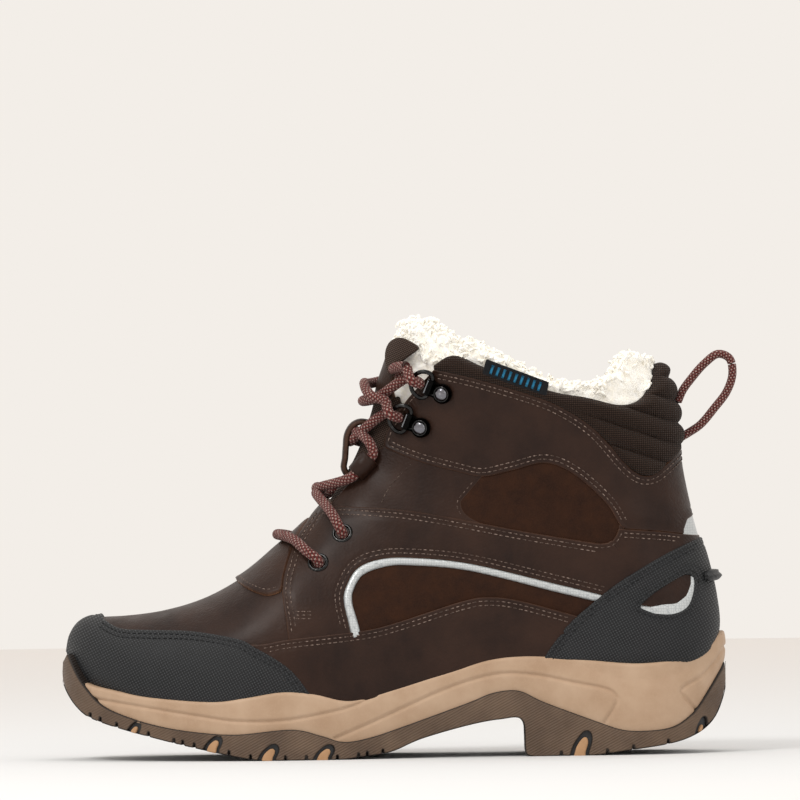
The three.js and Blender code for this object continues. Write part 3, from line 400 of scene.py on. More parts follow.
def half_angles():
    """Angles from the front to the back of one side, closer together at the corners of the sections."""
    front = np.linspace(0, math.pi / 2, 84)
    v = np.linspace(0, 1, 64)[1:]
    back = v ** 2.1 / (v ** 2.1 + (1 - v) ** 2.1)
    return np.concatenate([front, math.pi / 2 * (1 + back)])


HALF = half_angles()
ROUND = {
    "lateral": -HALF[::-1],
    "medial": HALF,
    "front": np.concatenate([-HALF[:0:-1], HALF]),
    "back": np.concatenate([HALF, 2 * math.pi - HALF[-2::-1]]),
}
PLACES = np.linspace(0.001, 1, 330)


class Patch:
    """A grid on a curved surface, cut by fields over it. Its grid values are turned into points by locate."""

    def __init__(self, rows, columns, locate, facing):
        r, c = np.meshgrid(rows, columns, indexing="ij")
        self.where = np.stack([r.ravel(), c.ravel()], -1)
        quads = grid_faces(len(rows), len(columns))
        self.triangles = np.concatenate([quads[:, [0, 1, 2]], quads[:, [0, 2, 3]]])
        self.locate, self.facing = locate, facing

    def cut(self, field, level, keep_below=False):
        """Splits the triangles along a level of the field, and drops what is below it."""
        above = field >= level
        count = above[self.triangles].sum(1)
        whole = self.triangles[count == 3]
        if keep_below:
            whole = np.concatenate([whole, self.triangles[count == 0]])
        crossed = self.triangles[(count > 0) & (count < 3)]
        one_above = above[crossed].sum(1) == 1
        alone = np.where(one_above, above[crossed].argmax(1), (~above[crossed]).argmax(1))
        each = np.arange(len(crossed))
        a, b, c = (crossed[each, (alone + k) % 3] for k in range(3))
        ends = np.sort(np.concatenate([np.stack([a, b], -1), np.stack([a, c], -1)]), axis=1)
        pairs, back = np.unique(ends, axis=0, return_inverse=True)
        share = (level - field[pairs[:, 0]]) / (field[pairs[:, 1]] - field[pairs[:, 0]])
        share = np.clip(share, 0.001, 0.999)[:, None]
        new = self.where[pairs[:, 0]] * (1 - share) + self.where[pairs[:, 1]] * share
        back = back.reshape(-1) + len(self.where)
        ab, ac = back[:len(crossed)], back[len(crossed):]
        tip = np.stack([a, ab, ac], -1)
        near, far = np.stack([ab, b, c], -1), np.stack([ab, c, ac], -1)
        kept = [whole, tip[one_above], near[~one_above], far[~one_above]]
        if keep_below:
            kept += [tip[~one_above], near[one_above], far[one_above]]
        self.where = np.concatenate([self.where, new])
        self.triangles = np.concatenate(kept)
        return np.concatenate([field, np.full(len(new), float(level))])

    def tidy(self, field):
        used, back = np.unique(self.triangles, return_inverse=True)
        self.triangles = back.reshape(-1, 3)
        self.where = self.where[used]
        return field[used]

    def keep(self, region):
        """Drops what is outside a region of the side view, and gives the distances to its edge."""
        points = self.base()
        return self.tidy(self.cut(region(points[:, 0], points[:, 2]), 0.0))

    def base(self):
        return self.locate(self.where[:, 0], self.where[:, 1])

    def normals(self):
        return self.facing(self.where[:, 0], self.where[:, 1])


def upper_patch(around, rows=PLACES):
    """A grid on the upper: around is a key of ROUND or the angles themselves."""
    angles = ROUND[around] if isinstance(around, str) else around
    return Patch(rows, angles, surface, normal_at)


def panel(
    name, patch, region, top, paint, slot, *nodes, round_edge=0.7, bottom=-1.4, swell=None, closed=False,
):
    """The part of a patch inside a region, as a sheet with a rounded edge and walls down to the bottom.

    The patch may be a key of ROUND. Closed adds the under side, and swell adds a height that depends on
    the point and its distance to the edge.
    """
    if isinstance(patch, str):
        patch = upper_patch(patch)
    field = patch.keep(region)
    for level in (0.15 * round_edge, 0.45 * round_edge, round_edge):
        field = patch.cut(field, level, keep_below=True)
    field = patch.tidy(field)
    nearness = 1 - np.clip(field / round_edge, 0, 1)
    height = top - round_edge * (1 - np.sqrt(np.maximum(1 - nearness ** 2, 0)))
    points, normals = patch.base(), patch.normals()
    if swell is not None:
        height = height + swell(points, field)
    skin = points + normals * height[:, None]
    tri = patch.triangles
    count = len(points)
    ends = np.concatenate([tri[:, [0, 1]], tri[:, [1, 2]], tri[:, [2, 0]]])
    codes = ends[:, 0] * count + ends[:, 1]
    lone = ends[~np.isin(codes, ends[:, 1] * count + ends[:, 0])]
    if closed:
        walls, drop = lone, count
        faces = [tri, tri[:, ::-1] + count]
        every = np.concatenate([skin, points + normals * bottom])
    else:
        rim, back = np.unique(lone, return_inverse=True)
        walls, drop = back.reshape(-1, 2) + count, len(rim)
        faces = [tri]
        every = np.concatenate([skin, skin[rim], points[rim] + normals[rim] * bottom])
    first, second = walls.T
    faces.append(np.stack([second, first, first + drop], -1))
    faces.append(np.stack([second, first + drop, second + drop], -1))
    depth = np.concatenate([field, np.full(len(every) - count, -0.5)])
    sheet = mesh_object(name, every, np.concatenate(faces), PAINTS[paint], {"edge": depth})
    return belongs(sheet, slot, *nodes)


def lumps(points, size, seed):
    """Smooth noise between -1 and 1 with lumps of about the given size."""
    lattice = np.random.default_rng(seed).uniform(-1, 1, (32, 32, 32))
    scaled = points / size + 11.3
    cell = np.floor(scaled).astype(int)
    t = scaled - cell
    t = t * t * (3 - 2 * t)
    total = np.zeros(len(points))
    for corner in np.ndindex(2, 2, 2):
        weight = np.prod(np.where(np.array(corner), t, 1 - t), axis=1)
        total += weight * lattice[tuple(((cell + corner) % 32).T)]
    return total


STITCH_PITCH = 2.5
STITCH_SIZE = (1.75, 0.5, 0.6)  # length, width and height
STITCH_LIFT = -0.16  # a stitch's middle over the leather's face
STITCH_CLEARANCE = 0.8  # from the panel that covers the seam


def capsules(name, middles, alongs, normals, material):
    """Many short rounded bars, one mesh: the stitches of a seam."""
    length, width, height = STITCH_SIZE
    turns, rings = 6, 5
    theta = np.linspace(0, 2 * math.pi, turns, endpoint=False)
    phi = np.linspace(0.12, math.pi - 0.12, rings)
    shape = np.stack([
        np.repeat(-np.cos(phi), turns) * length / 2,
        np.outer(np.sin(phi) ** 0.6, np.cos(theta)).ravel() * width / 2,
        np.outer(np.sin(phi) ** 0.6, np.sin(theta)).ravel() * height / 2,
    ], -1)
    faces = grid_faces(rings, turns, closed=True)
    alongs = unit(alongs - normals * (alongs * normals).sum(1, keepdims=True))
    across = np.cross(normals, alongs)
    frames = np.stack([alongs, across, normals], 1)
    points = (middles[:, None, :] + shape @ frames).reshape(-1, 3)
    all_faces = (faces[None] + (np.arange(len(middles)) * len(shape))[:, None, None]).reshape(-1, 4)
    return mesh_object(name, points, all_faces, material)


def stitches(name, lines, material):
    """Stitches along lines on the upper; each line is (side-view points, side, height of the leather)."""
    shortest = 4
    middles, alongs, normals = [], [], []
    for line, side, top in lines:
        if len(line) < 3:
            continue
        path = over(line[:, 0], line[:, 1], side, top + STITCH_LIFT)
        steps = np.linalg.norm(np.diff(path, axis=0), axis=1)
        if steps.sum() < shortest:
            continue
        at = np.concatenate([[0], np.cumsum(steps)])
        places = np.arange(STITCH_PITCH / 2, at[-1], STITCH_PITCH)
        flat = np.stack([np.interp(places, at, line[:, k]) for k in (0, 1)], -1)
        place, angle = seen_at(flat[:, 0], flat[:, 1], side)
        out = normal_at(place, angle)
        middle = surface(place, angle) + out * (top + STITCH_LIFT)
        middles.append(middle)
        normals.append(out)
        alongs.append(np.gradient(middle, axis=0) if len(middle) > 1 else out[:, [1, 0, 2]])
    middles, alongs, normals = (np.concatenate(rows) for rows in (middles, alongs, normals))
    return belongs(capsules(name, middles, unit(alongs), normals, material), "textile")


def rows_inside(line, region, offsets, top, clear_of=()):
    """Rows of stitches beside an edge, on the side of it where the region lies, on both sides of the boot."""
    result = []
    for distance in offsets:
        candidates = [offset_line(line, distance), offset_line(line, -distance)]
        scores = [region(c[:, 0], c[:, 1]).mean() for c in candidates]
        row = candidates[int(np.argmax(scores))]
        keep = region(row[:, 0], row[:, 1]) > distance * 0.9 - 0.25
        for other in clear_of:
            keep &= other(row[:, 0], row[:, 1]) < -STITCH_CLEARANCE
        runs = np.split(np.arange(len(row)), np.nonzero(np.diff(keep.astype(int)))[0] + 1)
        for run in runs:
            if keep[run[0]] and len(run) > 2:
                result += [(row[run], side, top) for side in SIDES.values()]
    return result


def through(points, spacing):
    """A centripetal Catmull-Rom curve through points, as points with an even spacing."""
    points = np.asarray(points, float)
    points = np.concatenate([[2 * points[0] - points[1]], points, [2 * points[-1] - points[-2]]])
    pieces = []
    for a, b, c, d in zip(points[:-3], points[1:-2], points[2:-1], points[3:]):
        t1, t2, t3 = np.cumsum([np.linalg.norm(q - p) ** 0.5 for p, q in ((a, b), (b, c), (c, d))])
        t = np.linspace(t1, t2, 24, endpoint=False)[:, None]
        early = a + (b - a) * t / t1
        middle = b + (c - b) * (t - t1) / (t2 - t1)
        late = c + (d - c) * (t - t2) / (t3 - t2)
        first = early + (middle - early) * t / t2
        second = middle + (late - middle) * (t - t1) / (t3 - t1)
        pieces.append(first + (second - first) * (t - t1) / (t2 - t1))
    return resampled(np.concatenate(pieces + [points[-2:-1]]), spacing)


def local_frame(place, side, direction):
    """Origin and axes of a fitting on the surface: u along a direction of the side view, n outwards."""
    where, angle = seen_at(np.float64(place[0]), np.float64(place[1]), side)
    origin, n = surface(where, angle), normal_at(where, angle)
    along = np.array([direction[0], 0.0, direction[1]])
    u = unit(along - n * (along @ n))
    return origin, np.stack([u, np.cross(n, u), n])


def in_frame(frame_here, points):
    """Points of a fitting's own frame, placed on the boot."""
    origin, axes = frame_here
    return origin + np.asarray(points, float) @ axes


# ---------------- camera
TARGET = Vector((-0.0679, 0, 0.1527))  # metres, as is the distance
DISTANCE = 8.59
ELEVATION, ROLL = math.radians(0.8), math.radians(-0.8)
LENS, SENSOR = 900, 36


def add_camera():
    data = bpy.data.cameras.new("camera")
    data.lens, data.sensor_width = LENS, SENSOR
    camera = bpy.data.objects.new("camera", data)
    bpy.context.scene.collection.objects.link(camera)
    towards = Vector((0, -math.cos(ELEVATION), math.sin(ELEVATION)))
    camera.location = TARGET + towards * DISTANCE
    level = (-towards).to_track_quat("-Z", "Y")
    camera.rotation_euler = (level @ Quaternion((0, 0, 1), ROLL)).to_euler()
    bpy.context.scene.camera = camera


# ---------------- the lace's route
LACE_DIAMETER = 4.4
CROSSING = LACE_DIAMETER + 0.3  # from one strand's middle to the other's where they cross
AGLET = 20  # its length
# x and z of the fittings in the side view, and the directions along them
EYELETS = [(-103.8, 83.8), (-93.3, 96.1)]
RIVETS = [(-58.4, 141.2), (-49, 155.8)]
RING_DIRECTION = (-0.93, 0.37)
TAG_DIRECTION = (0.93, -0.36)
TUNNEL, TUNNEL_DIRECTION = (-83, 124), (0.69, 0.72)
TUNNEL_RISE = 2.9  # the lace's middle over the leather


# Heights in the route are over the upper's surface, and inside the boot where they are negative.
def across_ridge(x, z, side, start, height, lift=CROSSING):
    """Over the ridge with the two strands side by side, crossing on the medial side."""
    apart = side * CROSSING / 2
    rise = lift if side < 0 else 0
    way = [
        over_ridge(x - 0.35 * apart, z - apart, -3, height),
        over_ridge(x - 0.25 * apart, z - 0.7 * apart, 4, height),
        over_ridge(x, z, 11, height + rise),
    ]
    return way if start < 0 else way[::-1]


def crossed_on_ridge(x, z, side, start, height):
    """The same with the crossing on the lateral side, where the strand that is higher lies on top."""
    apart = side * 0.75 * CROSSING
    rise = CROSSING if side > 0 else 0
    way = [
        over_ridge(x + 0.8, z + 1.2, -12, height + rise),
        over_ridge(x + 0.3 * apart, z + 0.9 * apart, -4, height + 0.4 * rise),
        over_ridge(x + 0.35 * apart, z + apart, 4, height),
    ]
    return way if start < 0 else way[::-1]


def through_ring(rivet, side):
    """Up through a D-ring from below, round it and back over its outside."""
    return list(in_frame(local_frame(rivet, side, RING_DIRECTION), [
        [17.6, -1.4 * side, -0.3], [13.8, -0.8 * side, 0.2], [10.6, 0, 3.2], [13.4, side, 7.4],
        [16, 2.6 * side, 6.3], [18.1, 4.3 * side, 4.9],
    ]))


def through_tunnel(side):
    here = local_frame(TUNNEL, side, TUNNEL_DIRECTION)
    return list(in_frame(here, [[u, 0, TUNNEL_RISE] for u in (-6.5, 0, 6.5)]))


def strand(side):
    """One half of the lace from the bar between the first eyelets to past the top ring, in stretches."""
    other = -side
    (x1, z1), (x2, z2) = EYELETS
    return [
        [over(-112, 90.6, side, 4.4), over(-107.2, 85.8, side, 5), over(x1, z1, side, 3.3),
         over(x1, z1, side, -3.6), over(x1 - 1, z1 + 4, side, -6.6),
         *across_ridge(-109.5, 101, side, side, -4.8, -CROSSING),
         over(x2 - 3.4, z2 + 4, other, -6.4), over(x2, z2, other, -3.8), over(x2, z2, other, 3.6),
         over(-95.4, 101, other, 5), *across_ridge(-99.6, 112, side, other, 4.4), *through_tunnel(side),
         over(-79.6, 134, side, 3.1), *across_ridge(-86, 137, side, side, 2.9)],
        through_ring(RIVETS[0], other),
        crossed_on_ridge(-80.2, 155.9, side, other, 2.9),
        through_ring(RIVETS[1], side),
    ]


def tail(side):
    """The free end, past the top ring over the tongue's edge and down inside the shaft."""
    tip = over(-60, 98, side, -17)
    return [
        *in_frame(local_frame(RIVETS[1], side, RING_DIRECTION), [[18.9, 4.5 * side, 4.5]]),
        over(-67.6, 166.8, side, 3.2), over(-70.6, 165.6, side, -0.6), over(-68.8, 161.5, side, -7.5),
        over(-61, 156, side, -14), tip + [0, 0, 46], tip + [0, 0, 28], tip + [0, 0, 12], tip,
    ]


# ---------------- materials
def screen(red, green, blue, alpha=1.0):
    """A colour given as it looks on a screen, from 0 to 255, as the linear colour that a shader needs."""
    values = np.array([red, green, blue]) / 255
    return (*np.where(values < 0.04045, values / 12.92, ((values + 0.055) / 1.055) ** 2.4), alpha)


class Paint:
    """A node material in the making. Lengths are millimetres of the object's own space."""

    def __init__(self, name, **sockets):
        self.material = bpy.data.materials.new(name)
        self.material.use_nodes = True
        tree = self.material.node_tree
        self.nodes, self.links = tree.nodes, tree.links
        self.shader = self.nodes["Principled BSDF"]
        for socket, value in sockets.items():
            self.shader.inputs[socket.replace("_", " ")].default_value = value
        here = self.nodes.new("ShaderNodeTexCoord").outputs["Object"]
        scaled = self.make("ShaderNodeVectorMath", {0: here, "Scale": 1 / MM}, operation="SCALE")
        self.place = scaled.outputs[0]
        self.height = None

    def make(self, kind, inputs=None, **settings):
        node = self.nodes.new(kind)
        for key, value in settings.items():
            setattr(node, key, value)
        for key, value in (inputs or {}).items():
            self.feed(node.inputs[key], value)
        return node

    def feed(self, socket, value):
        if isinstance(value, bpy.types.NodeSocket):
            self.links.new(value, socket)
        else:
            socket.default_value = value

    def stretched(self, x, y, z, turn=(0, 0, 0)):
        inputs = {"Vector": self.place, "Scale": (x, y, z), "Rotation": turn}
        return self.make("ShaderNodeMapping", inputs).outputs[0]

    def noise(self, size, detail, roughness=0.55, distortion=0.0, place=None):
        inputs = {
            "Vector": place or self.place, "Scale": 1 / size, "Detail": detail, "Roughness": roughness,
            "Distortion": distortion,
        }
        return self.make("ShaderNodeTexNoise", inputs).outputs["Fac"]

    def cells(self, size, feature, random_share=1.0):
        inputs = {"Vector": self.place, "Scale": 1 / size, "Randomness": random_share}
        return self.make("ShaderNodeTexVoronoi", inputs, feature=feature).outputs["Distance"]

    def waves(self, place, pitch, across, distortion, detail_scale):
        """Soft parallel ridges a pitch apart, across the X or the Z direction of a place."""
        inputs = {
            "Vector": place, "Scale": 1 / (3.18 * pitch), "Distortion": distortion, "Detail": 1.0,
            "Detail Scale": detail_scale,
        }
        return self.make("ShaderNodeTexWave", inputs, bands_direction=across).outputs["Fac"]

    def math(self, operation, a, b=0.0):
        return self.make("ShaderNodeMath", {0: a, 1: b}, operation=operation).outputs[0]

    def fit(self, value, low, high, to_low=0.0, to_high=1.0):
        inputs = {"Value": value, "From Min": low, "From Max": high, "To Min": to_low, "To Max": to_high}
        return self.make("ShaderNodeMapRange", inputs).outputs[0]

    def mix(self, share, a, b):
        node = self.make("ShaderNodeMix", data_type="RGBA")
        for index, value in ((0, share), (6, a), (7, b)):
            self.feed(node.inputs[index], value)
        return node.outputs[2]

    def attribute(self, name):
        return self.make("ShaderNodeAttribute", attribute_name=name).outputs["Fac"]

    def uv(self, name):
        coordinates = self.make("ShaderNodeTexCoord").outputs["UV"]
        return self.make("ShaderNodeSeparateXYZ", {0: coordinates}).outputs[name]

    def colour(self, value):
        self.feed(self.shader.inputs["Base Color"], value)

    def rough(self, value):
        self.feed(self.shader.inputs["Roughness"], value)

    def rough_patches(self, size, detail, low, high):
        """Roughness that drifts between two values in patches of a size."""
        self.rough(self.fit(self.noise(size, detail), 0.3, 0.7, low, high))

    def bump(self, value, depth, strength):
        """Adds a relief of a depth in millimetres to the surface."""
        inputs = {"Height": value, "Distance": depth * MM, "Strength": strength}
        node = self.make("ShaderNodeBump", inputs)
        if self.height is not None:
            self.links.new(self.height, node.inputs["Normal"])
        self.height = node.outputs["Normal"]
        self.links.new(self.height, self.shader.inputs["Normal"])


def leather_paint():
    """Full-grain leather: pores, fine creases, cloudy colour and a raw, lighter cut edge."""
    paint = Paint("leather", Coat_Weight=0.14, Coat_Roughness=0.32, Specular_IOR_Level=0.12)
    dark, light, edge_tone, raw_edge = (
        screen(33, 18, 12), screen(50, 31, 22), screen(96, 68, 52), screen(124, 88, 64),
    )
    clouds = paint.fit(paint.noise(26, 4), 0.34, 0.68)
    streaks = paint.noise(5, 3, place=paint.stretched(1, 1, 0.35))
    tone = paint.mix(clouds, dark, light)
    tone = paint.mix(paint.fit(streaks, 0.42, 0.72, 0, 0.32), tone, light)
    near_edge = paint.fit(paint.attribute("edge"), 0.0, 0.6, 1, 0)
    worn = paint.math("MULTIPLY", near_edge, paint.fit(paint.noise(3.5, 3), 0.3, 0.7, 0.35, 0.9))
    tone = paint.mix(paint.math("MULTIPLY", worn, 0.75), tone, edge_tone)
    raw = paint.fit(paint.attribute("edge"), -0.3, -0.05, 1, 0)
    paint.colour(paint.mix(raw, tone, raw_edge))
    paint.rough_patches(9, 4, 0.4, 0.56)
    pebbles = paint.cells(0.95, "SMOOTH_F1")
    pores = paint.noise(0.45, 3)
    creases = paint.noise(2.8, 5, 0.62, 0.8)
    paint.bump(pebbles, 0.22, 0.75)
    paint.bump(pores, 0.12, 0.6)
    paint.bump(creases, 0.55, 0.6)
    return paint.material


def nubuck_paint():
    """Oiled nubuck: a soft nap in brushed patches."""
    paint = Paint("inset_leather", Sheen_Weight=0.04, Sheen_Roughness=0.45, Specular_IOR_Level=0.1)
    nap = paint.fit(paint.noise(7, 5, 0.62), 0.35, 0.68)
    tone = paint.mix(nap, screen(38, 21, 13), screen(52, 31, 20))
    tone = paint.mix(paint.fit(paint.noise(0.5, 2), 0.35, 0.7, 0, 0.3), tone, screen(64, 42, 30))
    paint.colour(tone)
    paint.rough(paint.fit(nap, 0, 1, 0.72, 0.88))
    paint.bump(paint.noise(0.35, 3), 0.12, 0.6)
    paint.bump(paint.noise(6, 3), 0.5, 0.25)
    return paint.material


def guard_paint():
    """Abrasion guard: a tight weave under black polyurethane, rubbed greyer in cloudy patches."""
    paint = Paint("guard", Specular_IOR_Level=0.32)
    slanted = paint.stretched(1, 0.75, 1, (0, math.radians(28), 0))
    warp, weft = (paint.waves(slanted, 1.15, across, 0.5, 0.3) for across in "XZ")
    weave = paint.math("MULTIPLY", warp, weft)
    blotch = paint.noise(9, 4)
    tone = paint.mix(weave, screen(14, 15, 17), screen(60, 62, 65))
    paint.colour(paint.mix(paint.fit(blotch, 0.35, 0.7, 0, 0.3), tone, screen(40, 42, 44)))
    paint.rough(paint.fit(weave, 0, 1, 0.62, 0.44))
    paint.bump(weave, 0.28, 0.9)
    paint.bump(paint.noise(0.5, 3), 0.08, 0.5)
    return paint.material


def rubber_paint(name, dark, light, roughness=0.55, relief=0.12, ribs=0.0):
    """Moulded rubber or foam with dust on it. Ribs is the slant of its moulded lines in degrees; with ribs,
    the rubber also gets a painted shade along its cut edges.
    """
    paint = Paint(name, Specular_IOR_Level=0.4)
    clouds = paint.fit(paint.noise(18, 4), 0.35, 0.68)
    specks = paint.fit(paint.noise(0.8, 3), 0.5, 0.75, 0, 0.35)
    tone = paint.mix(specks, paint.mix(clouds, dark, light), light)
    paint.colour(tone)
    paint.rough_patches(3, 3, roughness - 0.06, roughness + 0.08)
    paint.bump(paint.noise(0.45, 3), relief, 0.5)
    if ribs:
        # Painted shade: darker near the wall's cut edges, at the joint under the foam, in the slits and round
        # the drops; the tread, which has no edge values, comes out dark all over.
        rim = paint.fit(paint.attribute("edge"), 0.15, 0.6, 1, 0)
        paint.colour(paint.mix(rim, tone, screen(30, 22, 17)))
        slanted = paint.stretched(1, 0.6, 1, (0, math.radians(ribs), 0))
        lines = paint.make("ShaderNodeTexWave", {"Vector": slanted, "Scale": 1 / 3.4}, bands_direction="Z")
        paint.bump(lines.outputs["Fac"], 0.22, 0.8)
    return paint.material


def reflective_paint():
    """Retroreflective film: silver, with the small cells of its backing showing."""
    paint = Paint("reflective", Metallic=0.35, Specular_IOR_Level=0.6)
    cells = paint.cells(1.1, "DISTANCE_TO_EDGE", random_share=0.25)
    walls = paint.fit(cells, 0.0, 0.12, 1, 0)
    paint.colour(paint.mix(walls, screen(196, 200, 201), screen(160, 165, 168)))
    paint.rough_patches(3, 3, 0.28, 0.42)
    paint.bump(walls, 0.05, 0.6)
    return paint.material


def fleece_paint():
    """Wool-look pile, creamier in its depths, with a faint painted glow that lightens the shade between its
    curls.
    """
    # The emission is a painted glow, not a lamp: it fills the shade in the pile's crevices.
    paint = Paint("fleece", Sheen_Weight=0.3, Sheen_Roughness=0.6, Roughness=0.95, Specular_IOR_Level=0.1,
                  Emission_Color=screen(255, 250, 240), Emission_Strength=0.09)
    depth = paint.fit(paint.noise(2.6, 4), 0.36, 0.64)
    paint.colour(paint.mix(depth, screen(251, 246, 234), screen(255, 254, 250)))
    paint.bump(paint.noise(0.8, 4), 0.6, 0.8)
    return paint.material


def knit_paint(name, dark, light, pitch=0.9, turn=0.0):
    """Ribbed knit: rows of small loops."""
    paint = Paint(name, Sheen_Weight=0.05, Sheen_Roughness=0.5, Specular_IOR_Level=0.1)
    turned = paint.stretched(1, 0.5, 1, (0, turn, 0))
    ribs, rows = (paint.waves(turned, pitch, across, 0.8, 0.4) for across in "XZ")
    loops = paint.math("MULTIPLY", paint.math("ADD", ribs, 0.35), paint.math("ADD", rows, 0.25))
    paint.colour(paint.mix(paint.fit(loops, 0.05, 1.1), dark, light))
    paint.rough(paint.fit(loops, 0, 1.4, 0.92, 0.7))
    paint.bump(loops, 0.45, 0.9)
    return paint.material


def lace_paint():
    """Round braid: two sets of yarns wound both ways, dark red and tan with pale flecks."""
    paint = Paint("lace_braid", Specular_IOR_Level=0.3, Sheen_Weight=0.07, Sheen_Roughness=0.4)
    yarn_length, yarns_round = 1.8, 12.0
    step = paint.math("MULTIPLY", paint.uv("X"), 1 / yarn_length)
    turns = paint.math("MULTIPLY", paint.uv("Y"), yarns_round)
    ways = [paint.math(way, turns, paint.math("MULTIPLY", step, 2.0)) for way in ("ADD", "SUBTRACT")]
    waves = [paint.math("PINGPONG", way, 0.5) for way in ways]
    yarn = paint.math("MULTIPLY", paint.math("MAXIMUM", waves[0], waves[1]), 2.0)
    red, tan = screen(116, 42, 38), screen(134, 88, 76)
    cell, other = (paint.math("FLOOR", way) for way in ways)
    cells = paint.math("ADD", paint.math("MULTIPLY", cell, 0.5), paint.math("MULTIPLY", other, 0.25))
    mark = paint.math("FRACT", cells)
    base = paint.mix(paint.fit(mark, 0.35, 0.4), red, screen(70, 34, 28))
    fleck = paint.math("GREATER_THAN", mark, 0.7)
    fibre = paint.fit(paint.noise(0.35, 2), 0.35, 0.7)
    toned = paint.mix(fleck, base, paint.mix(fibre, tan, screen(236, 214, 204)))
    shaded = paint.mix(0.45, toned, screen(60, 24, 22))
    paint.colour(paint.mix(paint.fit(yarn, 0.55, 1.0), shaded, toned))
    paint.rough(paint.fit(yarn, 0.5, 1, 0.85, 0.55))
    paint.bump(yarn, 0.45, 0.9)
    return paint.material


def metal_paint(name, dark, light):
    """Black nickel: dark, bright where it catches light, with rubbed spots."""
    paint = Paint(name, Metallic=1.0, Specular_IOR_Level=0.6)
    rubbed = paint.fit(paint.noise(1.6, 3), 0.55, 0.75)
    paint.colour(paint.mix(rubbed, dark, light))
    paint.rough_patches(2.5, 3, 0.14, 0.26)
    return paint.material


def thread_paint(name, dark, light):
    """Twisted thread, pale where its strands catch the light."""
    paint = Paint(name, Specular_IOR_Level=0.35)
    paint.colour(paint.mix(paint.fit(paint.noise(0.9, 2), 0.46, 0.62), dark, light))
    paint.rough_patches(0.8, 2, 0.6, 0.8)
    paint.bump(paint.noise(0.25, 2), 0.06, 0.6)
    return paint.material


def plain_paint(name, dark, light, roughness, size=4.0, **sockets):
    """A plain moulded or painted surface with slight clouds and scuffs."""
    paint = Paint(name, **sockets)
    paint.colour(paint.mix(paint.fit(paint.noise(size, 4), 0.35, 0.7), dark, light))
    paint.rough_patches(size / 2, 3, roughness - 0.07, roughness + 0.07)
    paint.bump(paint.noise(size / 8, 3), 0.05, 0.4)
    return paint.material


PAINTS = {
    "leather": leather_paint(),
    "nubuck": nubuck_paint(),
    "guard": guard_paint(),
    "outsole": rubber_paint("outsole_rubber", screen(84, 66, 52), screen(104, 84, 67), 0.6, ribs=28),
    "foam": rubber_paint("midsole_foam", screen(172, 142, 115), screen(188, 160, 134), 0.55, 0.06),
    "insert": rubber_paint("tread_insert", screen(164, 124, 88), screen(186, 146, 108), 0.6),
    "reflective": reflective_paint(),
    "fleece": fleece_paint(),
    "knit": knit_paint("collar_knit", screen(18, 12, 9), screen(60, 44, 35)),
    "webbing": knit_paint("webbing", screen(24, 17, 13), screen(86, 68, 58), 0.8, math.radians(25)),
    "lace": lace_paint(),
    "fleece_flat": knit_paint("footbed_cloth", screen(196, 186, 168), screen(228, 220, 204), 1.2),
    "metal": metal_paint("black_metal", screen(46, 46, 46), screen(84, 84, 84)),
    "plate_metal": metal_paint("plate_metal", screen(15, 15, 15), screen(34, 34, 34)),
    # Bright metal for the painted highlight along the clips' rolled ends.
    "highlight_metal": metal_paint("highlight_metal", screen(120, 122, 126), screen(178, 180, 184)),
    "bright_metal": metal_paint("rivet_metal", screen(118, 118, 124), screen(160, 160, 164)),
    "thread": thread_paint("thread", screen(70, 54, 46), screen(142, 123, 112)),
    "black_thread": thread_paint("black_thread", screen(7, 8, 9), screen(36, 38, 42)),
    "aglet": plain_paint("aglet_plastic", screen(60, 30, 26), screen(84, 44, 38), 0.3),
    "board": plain_paint("fibre_board", screen(150, 132, 104), screen(176, 158, 128), 0.85, 2.0),
    "steel": plain_paint("shank_steel", screen(150, 152, 156), screen(176, 178, 182), 0.35, 5.0,
                         Metallic=1.0),
    "membrane": plain_paint("membrane", screen(206, 208, 210), screen(222, 224, 226), 0.8, 1.5),
    "heel_board": plain_paint("heel_board", screen(40, 34, 32), screen(58, 50, 46), 0.5),
    "tag_black": knit_paint("tag_cloth", screen(14, 15, 17), screen(44, 46, 50), 0.5),
    "tag_blue": knit_paint("tag_blue", screen(30, 120, 170), screen(70, 170, 215), 0.5),
    "spur_rubber": plain_paint("spur_rubber", screen(20, 21, 23), screen(40, 41, 44), 0.55, 2.0),
}


def lathe(profile, steps=40):
    """A closed turned shape about the z axis from (radius, height) pairs."""
    profile = np.asarray(profile, float)
    theta = np.linspace(0, 2 * math.pi, steps, endpoint=False)
    points = np.stack([
        np.outer(profile[:, 0], np.cos(theta)), np.outer(profile[:, 0], np.sin(theta)),
        np.repeat(profile[:, 1:], steps, axis=1),
    ], -1).reshape(-1, 3)
    return points, grid_faces(len(profile), steps, closed=True)


# ---------------- room and light
WALL = screen(243, 238, 232)


def add_stage():
    """A pale round floor, painted darker close to the boot, where the lamps light it most, and lighter
    further off to match the wall: painted shade and light that even out how bright it looks.
    """
    radii = np.concatenate([[0.0], np.geomspace(60, 1850, 26)])
    points, faces = lathe(np.stack([radii[::-1], np.zeros(len(radii))], -1), 96)
    paint = Paint("studio_paper", Specular_IOR_Level=0.1)
    far_off = paint.make("ShaderNodeVectorMath", {0: paint.place}, operation="LENGTH").outputs["Value"]
    # Painted shade near the boot and painted light further off, evening out the lamps' pool of light on the
    # floor.
    paint.colour(paint.mix(paint.fit(far_off, 300, 1700), screen(225, 226, 227), screen(238, 234, 231)))
    paint.rough_patches(60, 2, 0.9, 0.98)
    floor = mesh_object("studio_floor", points, faces, paint.material)


def add_light(name, place, target, size, power, colour=(1, 1, 1)):
    data = bpy.data.lights.new(name, "AREA")
    data.shape, data.size, data.energy, data.color = "DISK", size, power, colour
    lamp = bpy.data.objects.new(name, data)
    bpy.context.scene.collection.objects.link(lamp)
    lamp.location = place
    lamp.rotation_euler = (Vector(target) - Vector(place)).to_track_quat("-Z", "Y").to_euler()


